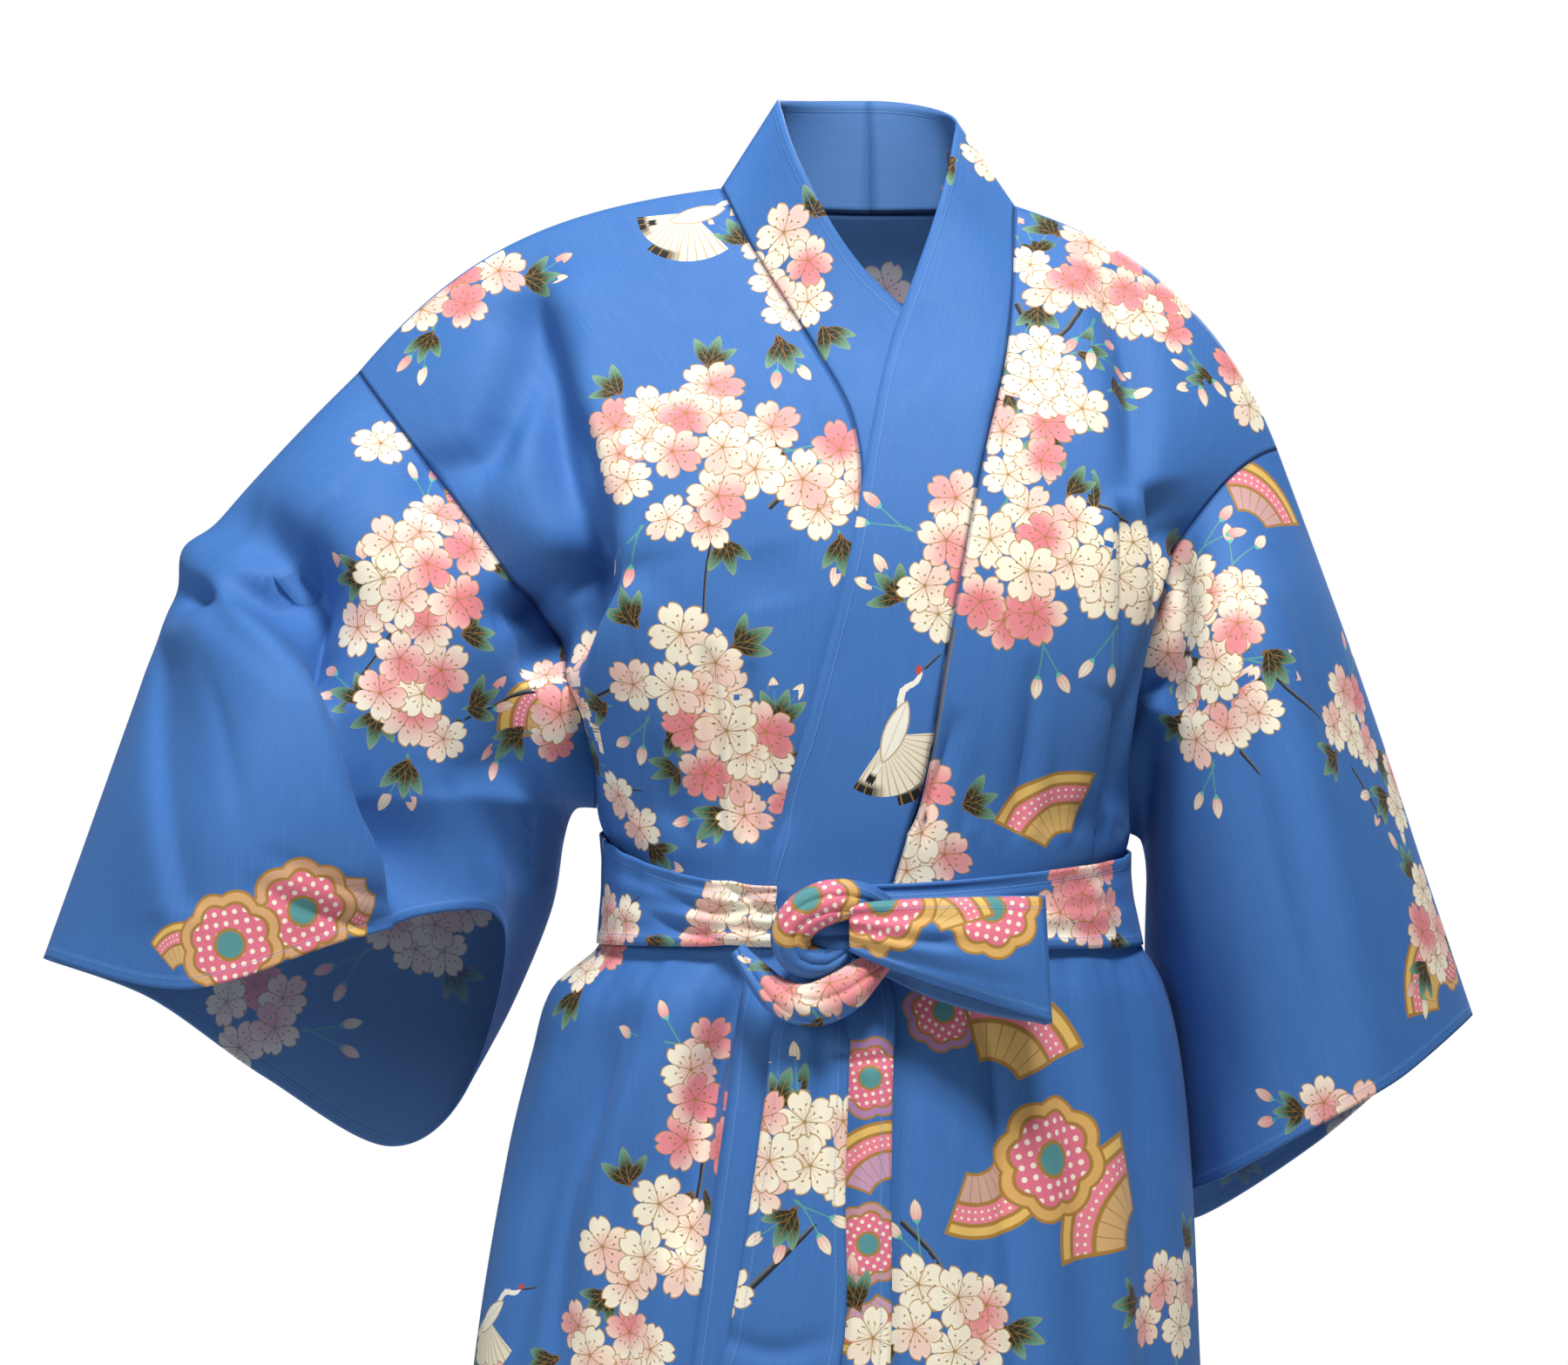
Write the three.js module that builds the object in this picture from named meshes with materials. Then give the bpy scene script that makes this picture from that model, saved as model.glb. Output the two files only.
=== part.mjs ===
// A cotton happi coat in the hollow form it has when worn, left front over right, with its tie belt.
// Millimetres, +Z up, the front faces -Y and the wearer's right is at -X. The origin is the middle of
// the neck opening, at the level of the shoulders, where the wearer holds the coat up.
import * as THREE from "three";

// ---------------------------------------------------------------- driving sizes
const WALL = 1.6; // thickness of one layer of cloth
const BAND_WALL = 2.2; // collar band and belt, sewn of two layers
const GARMENT_DROP = 900; // shoulder to hem on the centre line
const ARMHOLE_DROP = 385; // shoulder to underarm
const SHOULDER_RISE = 8; // centre of the shoulder line above the origin
const OVERLAP_LIFT = 5.0; // the left front lies this far over the right front
const SEAM_GAP = 0.35; // each piece stops this far short of its seam
const BELT_DROP = 434; // middle of the belt at the knot
const BELT_HALF = 37; // half of the belt's width
const BELT_LIFT = 9; // outside of the belt over the body, clear of the overlap
const KNOT_SQUEEZE = { half: 18, drop: 16, lift: 3 }; // half width, lower and further out at the knot
const CENTRE_RISE = 4; // the belt sits this much higher on the centre lines than at the sides
const KNOT_COVER = 0.07; // share of a front row that the knot hides, each way
const UNDERARM_FADE = 90; // a side seam takes this long to lose the underarm's sag
const NECK_FADE = 110; // the back takes this long to lose the shape of its top edge
const FOLD_END = 0.35; // share of a fold's depth that is left at its ends
const TAIL_ROLL = 3; // the belt's free ends are rounded by this much at the knot

const ARMHOLE_ROWS = 10; // rows of the body between shoulder and underarm
const SKIRT_ROWS = 14; // rows of the body between underarm and hem
const FRONT_COLUMNS = 12;
const NECK_COLUMNS = 4; // columns of half the back neck
const BAND_COLUMNS = 3;
const SLEEVE_ROWS = 15;

// ---------------------------------------------------------------- tables of the form
// A table is read with smooth interpolation on its first column.
const table = (columns, rows) => ({ columns: columns.split(" "), rows });

// Half sections of the body: depth at the centre line, and the side seams below the underarm.
const TORSO = table("drop front back right left side", [
  [0, 0, 52, -170, 160, 2],
  [45, -26, 74, -170, 160, 2],
  [95, -55, 86, -170, 160, 2],
  [150, -88, 93, -170, 160, 2],
  [230, -114, 96, -170, 160, 2],
  [305, -116, 92, -170, 160, 2],
  [385, -111, 84, -170, 160, 2],
  [425, -109, 78, -158, 152, 4],
  [470, -112, 81, -169, 168, 6],
  [496, -121, 94, -197, 182, 8],
  [535, -128, 106, -210, 192, 10],
  [600, -135, 118, -226, 199, 12],
  [730, -147, 130, -247, 205, 14],
  [900, -160, 140, -262, 213, 16],
]);

// How each row of the body leaves the centre line and turns into the armhole or side seam:
// reach is the first handle as a share of the half width, and x, y, z are the last handle.
const TURN = {
  right: table("drop reach x y z backY", [
    [0, 0.55, 78, 0, 93, 0],
    [100, 0.5, 58, -34, 42, 34],
    [200, 0.52, 34, -52, 22, 52],
    [300, 0.54, 6, -62, 6, 56],
    [385, 0.55, 0, -62, 0, 46],
    [900, 0.55, 0, -94, 0, 74],
  ]),
  left: table("drop reach x y z backY", [
    [0, 0.44, -47, 0, 123, 0],
    [100, 0.5, -34, -42, 58, 36],
    [200, 0.54, 18, -62, 28, 54],
    [300, 0.55, 18, -70, 8, 58],
    [385, 0.55, 2, -66, 0, 46],
    [900, 0.55, 0, -94, 0, 74],
  ]),
};

// The armholes: top of the shoulder, two handles in front, the underarm, two handles behind.
const ARMHOLE = {
  right: {
    top: [-318, 0, -115],
    front: [[-262, -72, -190], [-165, -84, -290]],
    under: [-170, 2, -385],
    back: [[-268, 66, -185], [-178, 84, -285]],
  },
  left: {
    top: [252, 0, -163],
    front: [[190, -78, -180], [140, -64, -300]],
    under: [160, 2, -400],
    back: [[205, 62, -205], [150, 84, -300]],
  },
};

// Where the collar band is sewn to each front: height against distance from the centre.
const BAND_SEAM = {
  right: table("drop x", [
    [0, -93], [40, -74], [75, -54], [110, -34], [150, -14], [190, -8],
    [300, -14], [436, -22], [600, 2], [900, 32],
  ]),
  left: table("drop x", [
    [0, 89], [50, 85], [100, 79], [150, 68], [200, 58], [250, 49], [300, 40],
    [350, 31], [400, 18], [436, 8], [480, -2], [560, -14], [730, -36], [900, -58],
  ]),
};

// The band's free edge beside each drop of its seam. cling says how far the band lies on the body.
const BAND_EDGE = {
  right: table("drop x y z cling", [
    [0, -58, 12, 56, 0],
    [40, -49, -22, 22, 0],
    [75, -31, -48, -17, 0.1],
    [110, -8, -64, -52, 0.5],
    [150, 28, -80, -92, 1],
    [190, 52, -90, -150, 1],
    [300, 58, -110, -290, 1],
    [436, 52, -110, -430, 1],
    [600, 78, -130, -600, 1],
    [900, 108, -150, -893, 1],
  ]),
  left: table("drop x y z cling", [
    [0, 54, 12, 42, 0],
    [50, 45, -26, 0, 0],
    [100, 26, -52, -58, 0.3],
    [150, 8, -78, -112, 1],
    [200, -3, -100, -163, 1],
    [250, -12, -110, -216, 1],
    [300, -22, -110, -262, 1],
    [350, -36, -110, -315, 1],
    [400, -51, -110, -375, 1],
    [436, -63, -110, -420, 1],
    [480, -74, -115, -472, 1],
    [560, -86, -125, -556, 1],
    [730, -109, -140, -722, 1],
    [900, -130, -150, -890, 1],
  ]),
};
const NECK_BACK = { depth: 58, drop: 4, bandLean: 6, bandHeight: 62 };

// Sections of the sleeves from armhole to cuff, eight places round each: the top fold, three down
// the front, the underside, three up the back.
const SLEEVE = {
  right: [
    [[-364, 0, -162], [-316, -75, -200], [-258, -85, -253], [-201, -65, -316],
      [-184, 5, -386], [-198, 75, -340], [-250, 85, -265], [-315, 70, -200]],
    [[-421, 5, -229], [-374, -92, -263], [-304, -105, -277], [-219, -68, -340],
      [-192, 15, -400], [-210, 80, -398], [-285, 90, -330], [-380, 65, -262]],
    [[-447, 0, -294], [-392, -124, -338], [-326, -132, -318], [-233, -72, -368],
      [-200, 28, -440], [-225, 80, -462], [-310, 85, -412], [-410, 60, -342]],
    [[-476, -20, -383], [-405, -146, -402], [-316, -142, -376], [-230, -58, -400],
      [-222, 42, -500], [-262, 80, -532], [-345, 80, -492], [-430, 45, -436]],
    [[-506, -40, -475], [-402, -152, -486], [-302, -136, -456], [-226, -40, -452],
      [-252, 50, -560], [-305, 76, -603], [-385, 70, -558], [-452, 32, -505]],
  ],
  left: [
    [[283, 0, -247], [245, -70, -258], [206, -90, -284], [177, -52, -334],
      [174, 45, -416], [187, 100, -398], [235, 100, -330], [270, 60, -275]],
    [[313, 0, -332], [265, -84, -347], [217, -95, -368], [187, -42, -412],
      [176, 72, -486], [198, 125, -478], [260, 124, -412], [300, 72, -352]],
    [[343, 0, -424], [290, -90, -441], [238, -96, -467], [203, -34, -503],
      [184, 92, -566], [208, 140, -568], [280, 130, -508], [326, 70, -447]],
    [[373, 0, -513], [316, -90, -543], [264, -96, -572], [216, -34, -609],
      [190, 104, -642], [218, 150, -657], [292, 134, -608], [346, 66, -547]],
  ],
};

// The largest folds, as paths in the front view. A positive depth is a trough, a negative one a ridge.
const FOLDS = [
  { name: "shoulder trough, right", depth: 6, width: 15,
    path: [[-210, -62], [-190, -106], [-168, -160], [-146, -232]] },
  { name: "armpit fold, right", depth: 13, width: 13,
    path: [[-152, -225], [-176, -292], [-194, -322], [-196, -372]] },
  { name: "armpit roll, right", depth: -8, width: 14,
    path: [[-132, -240], [-150, -300], [-164, -342]] },
  { name: "bust gather, right", depth: 5, width: 9, path: [[-74, -300], [-70, -350], [-66, -398]] },
  { name: "belt gather, right", depth: 6, width: 9,
    path: [[-104, -330], [-96, -365], [-88, -398]] },
  { name: "belt gather, far right", depth: 5, width: 10,
    path: [[-136, -345], [-128, -372], [-122, -398]] },
  { name: "belt gather, left", depth: 5, width: 9, path: [[44, -330], [34, -365], [26, -396]] },
  { name: "belt gather, far left", depth: 5, width: 10,
    path: [[92, -318], [86, -360], [80, -396]] },
  { name: "shoulder fold, left", depth: -6, width: 13,
    path: [[106, -42], [124, -84], [138, -140]] },
  { name: "side pleat, left", depth: 9, width: 10, path: [[146, -226], [148, -300], [140, -360]] },
  { name: "tuck beside the band", depth: 12, width: 12,
    path: [[-82, -482], [-94, -520], [-104, -560], [-112, -626]] },
  { name: "skirt fold, far right", depth: 7, width: 15,
    path: [[-164, -484], [-186, -520], [-206, -566]] },
  { name: "skirt fold, right", depth: 7, width: 16,
    path: [[-138, -484], [-160, -560], [-180, -680], [-190, -880]] },
  { name: "skirt fold, mid right", depth: 6, width: 15,
    path: [[-112, -484], [-128, -600], [-140, -760], [-146, -880]] },
  { name: "skirt fold, left", depth: 6, width: 22, path: [[54, -488], [64, -600], [72, -880]] },
  { name: "skirt fold, mid left", depth: 7, width: 22,
    path: [[104, -488], [122, -600], [132, -880]] },
  { name: "skirt fold, far left", depth: 6, width: 16,
    path: [[146, -488], [164, -590], [174, -880]] },
  { name: "elbow crease", depth: 12, width: 11, path: [[-426, -240], [-384, -252], [-340, -276]] },
  { name: "forearm ridge", depth: -12, width: 20,
    path: [[-402, -232], [-366, -264], [-330, -306], [-312, -358], [-296, -436]] },
  { name: "forearm trough", depth: 12, width: 18,
    path: [[-322, -250], [-286, -300], [-268, -360], [-262, -420]] },
  { name: "outer sleeve crease", depth: 5, width: 12,
    path: [[-430, -330], [-422, -385], [-412, -450]] },
  { name: "upper arm fold", depth: 5, width: 12, path: [[-232, -140], [-234, -182]] },
  { name: "upper arm valley", depth: 8, width: 13,
    path: [[-184, -198], [-190, -250], [-192, -292]] },
  { name: "sleeve fold, left", depth: 8, width: 20, path: [[206, -300], [226, -400], [252, -560]] },
  { name: "sleeve ridge, left", depth: -7, width: 18,
    path: [[236, -260], [262, -380], [298, -530]] },
];
// The same for the back, seen from behind through the coat.
const BACK_FOLDS = [
  { name: "blade fold, right", depth: 6, width: 18,
    path: [[-150, -150], [-120, -260], [-90, -400]] },
  { name: "blade fold, left", depth: 6, width: 18, path: [[140, -170], [112, -270], [84, -400]] },
  { name: "back belt gather, right", depth: 6, width: 12, path: [[-46, -320], [-42, -398]] },
  { name: "back belt gather, left", depth: 6, width: 12, path: [[44, -320], [40, -398]] },
  { name: "back skirt fold, right", depth: 8, width: 20,
    path: [[-60, -488], [-82, -650], [-92, -880]] },
  { name: "back skirt fold, far right", depth: 8, width: 20,
    path: [[-120, -488], [-156, -650], [-168, -880]] },
  { name: "back skirt fold, middle", depth: 6, width: 20, path: [[4, -488], [6, -650], [4, -880]] },
  { name: "back skirt fold, left", depth: 8, width: 20,
    path: [[64, -488], [84, -650], [92, -880]] },
  { name: "back skirt fold, far left", depth: 8, width: 18,
    path: [[112, -488], [136, -650], [146, -880]] },
];

// The belt's free ends in front: their edges against height.
const TAILS = {
  front: table("drop left right lift", [
    [509, -60, -16, 18.5],
    [540, -64, -16, 16],
    [600, -72, -18, 14],
    [680, -85, -18, 13],
    [730, -97, -26, 13],
    [805, -104, -32, 13],
  ]),
  back: table("drop left right lift", [
    [488, -36, 11, 13.5],
    [540, -40, 10, 11],
    [600, -46, 9, 9],
    [680, -58, 9, 9],
    [730, -66, 7, 9],
    [838, -68, 6, 9],
  ]),
};

// The bow's one loop: a band that runs out from the knot, turns, and comes back in front.
const LOOP = {
  inner: { x: -9, z: -452, half: 17 },
  outer: { x: 94, z: -473, half: 31 },
  backY: -138,
  frontY: -158,
  bulge: 9,
};
const KNOT = { at: [-39, -143, -457], half: [27, 15, 25], lean: 0.35 };
const KNOT_FOLD = { at: [-37, -147, -496], half: [34, 10, 12], lean: -0.12 };

// ---------------------------------------------------------------- small tools
const vec = (p) => new THREE.Vector3(...p);
const mix = THREE.MathUtils.lerp;
const ease = (t) => THREE.MathUtils.smoothstep(t, 0, 1);
const share = (i, n) => i / n;

// A column of a table at a key, as a smooth curve through its rows.
function look(tab, column, key) {
  const c = tab.columns.indexOf(column);
  const rows = tab.rows;
  const last = rows.length - 1;
  const k = Math.min(Math.max(key, rows[0][0]), rows[last][0]);
  let i = 0;
  while (i < last - 1 && k > rows[i + 1][0]) i += 1;
  const slope = (a, b) => (rows[b][c] - rows[a][c]) / (rows[b][0] - rows[a][0]);
  const span = rows[i + 1][0] - rows[i][0];
  const t = (k - rows[i][0]) / span;
  const from = (i > 0 ? slope(i - 1, i + 1) : slope(0, 1)) * span;
  const to = (i + 2 <= last ? slope(i, i + 2) : slope(last - 1, last)) * span;
  return (
    rows[i][c] * (1 + 2 * t) * (1 - t) ** 2 +
    from * t * (1 - t) ** 2 +
    rows[i + 1][c] * t * t * (3 - 2 * t) +
    to * t * t * (t - 1)
  );
}

function bezier(a, b, c, d, t) {
  return new THREE.Vector3()
    .addScaledVector(a, (1 - t) ** 3)
    .addScaledVector(b, 3 * t * (1 - t) ** 2)
    .addScaledVector(c, 3 * t * t * (1 - t))
    .addScaledVector(d, t ** 3);
}

// A point on the smooth curve through a list of points, closed or open, at a place in its intervals.
function along(points, place, closed) {
  const n = points.length;
  const at = (i) => points[closed ? (i + n) % n : Math.min(Math.max(i, 0), n - 1)];
  const i = Math.min(Math.floor(place), closed ? n - 1 : n - 2);
  const t = place - i;
  const [p, q, r, s] = [at(i - 1), at(i), at(i + 1), at(i + 2)];
  const out = new THREE.Vector3();
  for (const k of ["x", "y", "z"]) {
    const from = (r[k] - p[k]) / 2;
    const to = (s[k] - q[k]) / 2;
    out[k] =
      q[k] * (1 + 2 * t) * (1 - t) ** 2 +
      from * t * (1 - t) ** 2 +
      r[k] * t * t * (3 - 2 * t) +
      to * t * t * (t - 1);
  }
  return out;
}

// ---------------------------------------------------------------- the body's surface
// A point of an armhole, t running from the shoulder down to the underarm.
function armhole(hand, face, t) {
  const ring = ARMHOLE[hand];
  const [high, low] = ring[face];
  return bezier(vec(ring.top), vec(high), vec(low), vec(ring.under), t);
}

const centreHeight = (drop) =>
  SHOULDER_RISE - (drop * (ARMHOLE_DROP + SHOULDER_RISE)) / ARMHOLE_DROP;
const rowHeight = (drop) =>
  drop <= ARMHOLE_DROP ? centreHeight(drop) : -drop;
const dropOfHeight = (z) =>
  z > -ARMHOLE_DROP ? ((SHOULDER_RISE - z) * ARMHOLE_DROP) / (ARMHOLE_DROP + SHOULDER_RISE) : -z;

// The end of a row: on the armhole down to the underarm, then on the side seam.
function rowEnd(hand, face, drop) {
  if (drop <= ARMHOLE_DROP) return armhole(hand, face, drop / ARMHOLE_DROP);
  const sag = ARMHOLE[hand].under[2] + ARMHOLE_DROP;
  const fade = 1 - ease((drop - ARMHOLE_DROP) / UNDERARM_FADE);
  return new THREE.Vector3(look(TORSO, hand, drop), look(TORSO, "side", drop), -drop + sag * fade);
}

// A row of the front or back: s is -1 at the right armhole or side, 0 at the centre, 1 at the left.
function row(face, s, drop) {
  const hand = s < 0 ? "right" : "left";
  const centre = new THREE.Vector3(0, look(TORSO, face, drop), rowHeight(drop));
  const end = rowEnd(hand, face, drop);
  const turn = (column) => look(TURN[hand], column, drop);
  const first = new THREE.Vector3(
    end.x * turn("reach"),
    centre.y,
    mix(centre.z, end.z, 0.1),
  );
  const handle = face === "front" ? turn("y") : turn("backY");
  const lastHandle = end.clone().add(new THREE.Vector3(turn("x"), handle, turn("z")));
  return bezier(centre, first, lastHandle, end, Math.abs(s));
}

// The place on a row where it is x from the centre line.
function placeAt(face, x, drop) {
  let low = -1;
  let high = 1;
  for (let i = 0; i < 30; i += 1) {
    const middle = (low + high) / 2;
    if (row(face, middle, drop).x < x) low = middle;
    else high = middle;
  }
  return (low + high) / 2;
}

const frontDepth = (x, z) => {
  const drop = dropOfHeight(z);
  return row("front", placeAt("front", x, drop), drop).y;
};

const seamPlace = (hand, drop) =>
  placeAt("front", look(BAND_SEAM[hand], "x", drop), drop);

// ---------------------------------------------------------------- folds
// How far a point is moved into the coat by the folds of its face.
function foldDepth(folds, x, z) {
  let depth = 0;
  for (const fold of folds) {
    const path = fold.path;
    let nearest = Infinity;
    let place = 0;
    for (let i = 0; i + 1 < path.length; i += 1) {
      const [ax, az] = path[i];
      const [bx, bz] = path[i + 1];
      const [dx, dz] = [bx - ax, bz - az];
      const t = Math.min(Math.max(((x - ax) * dx + (z - az) * dz) / (dx * dx + dz * dz), 0), 1);
      const far = Math.hypot(x - ax - t * dx, z - az - t * dz);
      if (far < nearest) {
        nearest = far;
        place = (i + t) / (path.length - 1);
      }
    }
    const taper = FOLD_END + (1 - FOLD_END) * Math.sin(Math.PI * Math.min(Math.max(place, 0), 1));
    depth += fold.depth * taper * Math.exp(-((nearest / fold.width) ** 2));
  }
  return depth;
}

function foldedPoint(point, normal) {
  const folds = normal.y < 0 ? FOLDS : BACK_FOLDS;
  const facing = ease((Math.abs(normal.y) - 0.15) / 0.35);
  return point.clone().addScaledVector(normal, -foldDepth(folds, point.x, point.z) * facing);
}

// ---------------------------------------------------------------- panels as grids of points
// A panel is a grid of points whose normals face out of the coat. flip says that its rows and
// columns turn the other way, round that its columns close into a tube.
const armholeDrops = Array.from({ length: ARMHOLE_ROWS + 1 }, (_, i) =>
  ARMHOLE_DROP * share(i, ARMHOLE_ROWS));
const skirtDrops = Array.from({ length: SKIRT_ROWS }, (_, i) =>
  mix(ARMHOLE_DROP, GARMENT_DROP, share(i + 1, SKIRT_ROWS) ** 1.25));
const DROPS = [...armholeDrops, ...skirtDrops];

function frontPanel(hand) {
  const side = hand === "right" ? -1 : 1;
  const grid = DROPS.map((drop) => {
    const start = seamPlace(hand, drop);
    return Array.from({ length: FRONT_COLUMNS + 1 }, (_, j) =>
      row("front", mix(start, side, share(j, FRONT_COLUMNS)), drop));
  });
  return { grid, flip: hand === "right", wall: WALL, lifted: hand === "left" };
}

// The back's top edge follows the back of the neck between the shoulders.
function neckCurve(hand, t) {
  const point = vec(shoulderNeck[hand]);
  const angle = (t * Math.PI) / 2;
  return new THREE.Vector3(
    point.x * Math.sin(angle),
    mix(point.y, NECK_BACK.depth, Math.cos(angle)),
    mix(point.z, mix(shoulderNeck.right[2], shoulderNeck.left[2], 0.5) - NECK_BACK.drop, Math.cos(angle)),
  );
}
const shoulderNeck = {
  right: row("front", seamPlace("right", 0), 0).toArray(),
  left: row("front", seamPlace("left", 0), 0).toArray(),
};

function backPanel() {
  const half = (hand, drop) => {
    const side = hand === "right" ? -1 : 1;
    const neck = seamPlace(hand, 0);
    const correction = 1 - ease(drop / NECK_FADE);
    return Array.from({ length: NECK_COLUMNS + FRONT_COLUMNS + 1 }, (_, j) => {
      const inNeck = j <= NECK_COLUMNS;
      const s = inNeck
        ? neck * share(j, NECK_COLUMNS)
        : mix(neck, side, share(j - NECK_COLUMNS, FRONT_COLUMNS));
      const plain = row("back", s, drop);
      const top = inNeck ? neckCurve(hand, share(j, NECK_COLUMNS)) : row("front", s, 0);
      return plain.add(top.sub(row("back", s, 0)).multiplyScalar(correction));
    });
  };
  const grid = DROPS.map((drop) => [
    ...half("right", drop).reverse(),
    ...half("left", drop).slice(1),
  ]);
  return { grid, flip: true, wall: WALL };
}

function collarBand(hand) {
  const neckRows = Array.from({ length: NECK_COLUMNS + 1 }, (_, i) => {
    const t = share(i, NECK_COLUMNS);
    const seam = neckCurve(hand, t);
    const top = look(BAND_EDGE[hand], "z", 0);
    const angle = (t * Math.PI) / 2;
    const edge = new THREE.Vector3(
      look(BAND_EDGE[hand], "x", 0) * Math.sin(angle),
      mix(look(BAND_EDGE[hand], "y", 0), NECK_BACK.depth + NECK_BACK.bandLean, Math.cos(angle)),
      mix(top, NECK_BACK.bandHeight, Math.cos(angle)),
    );
    return { seam, edge, cling: 0 };
  });
  const frontRows = DROPS.slice(1).map((drop) => ({
    seam: row("front", seamPlace(hand, drop), drop),
    edge: new THREE.Vector3(...["x", "y", "z"].map((c) => look(BAND_EDGE[hand], c, drop))),
    cling: look(BAND_EDGE[hand], "cling", drop),
  }));
  const grid = [...neckRows, ...frontRows].map(({ seam, edge, cling }) =>
    Array.from({ length: BAND_COLUMNS + 1 }, (_, j) => {
      const t = share(j, BAND_COLUMNS);
      const point = seam.clone().lerp(edge, t);
      if (j > 0 && cling > 0)
        point.y = mix(point.y, frontDepth(point.x, point.z), Math.min(cling, 1));
      return point;
    }));
  return { grid, flip: hand === "left", wall: BAND_WALL, lifted: hand === "left" };
}

function sleevePanel(hand) {
  const half = ARMHOLE_ROWS;
  const sections = SLEEVE[hand].map((section) => section.map(vec));
  const loops = Array.from({ length: 2 * half }, (_, j) => {
    const t = share(j, half); // 0 at the top fold, 1 at the underside
    const ring = t <= 1 ? armhole(hand, "front", t) : armhole(hand, "back", 2 - t);
    return [ring, ...sections.map((section) => along(section, t * 4, true))];
  });
  const grid = Array.from({ length: SLEEVE_ROWS + 1 }, (_, i) =>
    loops.map((loop) => along(loop, share(i, SLEEVE_ROWS) * sections.length, false)));
  return { grid, flip: hand === "left", wall: WALL, round: true };
}

// ---------------------------------------------------------------- normals, folds and walls
function gridNormals(panel) {
  const { grid, flip, round } = panel;
  const [n, m] = [grid.length, grid[0].length];
  return grid.map((line, i) =>
    line.map((_, j) => {
      const down = grid[Math.min(i + 1, n - 1)][j].clone().sub(grid[Math.max(i - 1, 0)][j]);
      const next = round ? (j + 1) % m : Math.min(j + 1, m - 1);
      const previous = round ? (j + m - 1) % m : Math.max(j - 1, 0);
      const across = line[next].clone().sub(line[previous]);
      const normal = down.cross(across).normalize();
      return flip ? normal.negate() : normal;
    }));
}

const keyOf = (p) => p.toArray().map((v) => Math.round(v * 10)).join(" ");

// Panels that share a seam share its normals, so their walls meet in a mitre.
function sharedNormals(panels) {
  const normals = panels.map(gridNormals);
  const sums = new Map();
  panels.forEach((panel, k) =>
    panel.grid.forEach((line, i) =>
      line.forEach((point, j) => {
        const key = keyOf(point);
        if (!sums.has(key)) sums.set(key, new THREE.Vector3());
        sums.get(key).add(normals[k][i][j]);
      })));
  return panels.map((panel) =>
    panel.grid.map((line) => line.map((point) => sums.get(keyOf(point)).clone().normalize())));
}

// How far the left front and its band lie out over the right one.
function overlapLift(point) {
  const fromShoulder = ease((-point.z - 20) / 60);
  const reach = mix(95, 130, ease((-point.z - 450) / 300));
  const side = mix(look(TORSO, "left", -point.z), 190, 1 - ease((-point.z - 200) / 180));
  return OVERLAP_LIFT * fromShoulder * (1 - ease((point.x - reach) / (side - reach)));
}

function foldPanels(panels) {
  const flat = sharedNormals(panels);
  panels.forEach((panel, k) => {
    panel.grid = panel.grid.map((line, i) =>
      line.map((point, j) => foldedPoint(point, flat[k][i][j])));
  });
  const normals = sharedNormals(panels);
  panels.forEach((panel, k) => {
    panel.normals = normals[k];
    if (!panel.lifted) return;
    panel.grid = panel.grid.map((line, i) =>
      line.map((point, j) =>
        point.clone().addScaledVector(normals[k][i][j], overlapLift(point))));
  });
}

// Moves the border of a grid back from its seams.
function drawnBack(grid, round) {
  const [n, m] = [grid.length, grid[0].length];
  const pull = (from, to) => from.clone().add(to.clone().sub(from).setLength(SEAM_GAP));
  return grid.map((line, i) =>
    line.map((point, j) => {
      let moved = point;
      if (i === 0) moved = pull(moved, grid[1][j]);
      if (i === n - 1) moved = pull(moved, grid[n - 2][j]);
      if (!round && j === 0) moved = pull(moved, line[1]);
      if (!round && j === m - 1) moved = pull(moved, line[m - 2]);
      return moved;
    }));
}

// A closed wall between a grid and the same grid moved in along its normals.
function wallGeometry(panel) {
  const { flip, round, wall } = panel;
  const inside = panel.grid.map((line, i) =>
    line.map((point, j) => point.clone().addScaledVector(panel.normals[i][j], -wall)));
  const outer = drawnBack(panel.grid, round);
  const inner = drawnBack(inside, round);
  const [n, m] = [outer.length, outer[0].length];
  const points = [...outer.flat(), ...inner.flat()];
  const faces = [];
  const at = (layer, i, j) => layer * n * m + i * m + (j % m);
  const quad = (a, b, c, d) => {
    faces.push(...(flip ? [a, c, b, a, d, c] : [a, b, c, a, c, d]));
  };
  const columns = round ? m : m - 1;
  for (let i = 0; i + 1 < n; i += 1)
    for (let j = 0; j < columns; j += 1) {
      quad(at(0, i, j), at(0, i + 1, j), at(0, i + 1, j + 1), at(0, i, j + 1));
      quad(at(1, i, j), at(1, i, j + 1), at(1, i + 1, j + 1), at(1, i + 1, j));
    }
  for (let j = 0; j < columns; j += 1) {
    quad(at(0, 0, j), at(0, 0, j + 1), at(1, 0, j + 1), at(1, 0, j));
    quad(at(0, n - 1, j), at(1, n - 1, j), at(1, n - 1, j + 1), at(0, n - 1, j + 1));
  }
  if (!round)
    for (let i = 0; i + 1 < n; i += 1) {
      quad(at(0, i, 0), at(1, i, 0), at(1, i + 1, 0), at(0, i + 1, 0));
      quad(at(0, i, m - 1), at(0, i + 1, m - 1), at(1, i + 1, m - 1), at(1, i, m - 1));
    }
  const geometry = new THREE.BufferGeometry();
  geometry.setAttribute(
    "position",
    new THREE.Float32BufferAttribute(points.flatMap((p) => p.toArray()), 3),
  );
  geometry.setIndex(faces);
  geometry.computeVertexNormals();
  return geometry;
}

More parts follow.
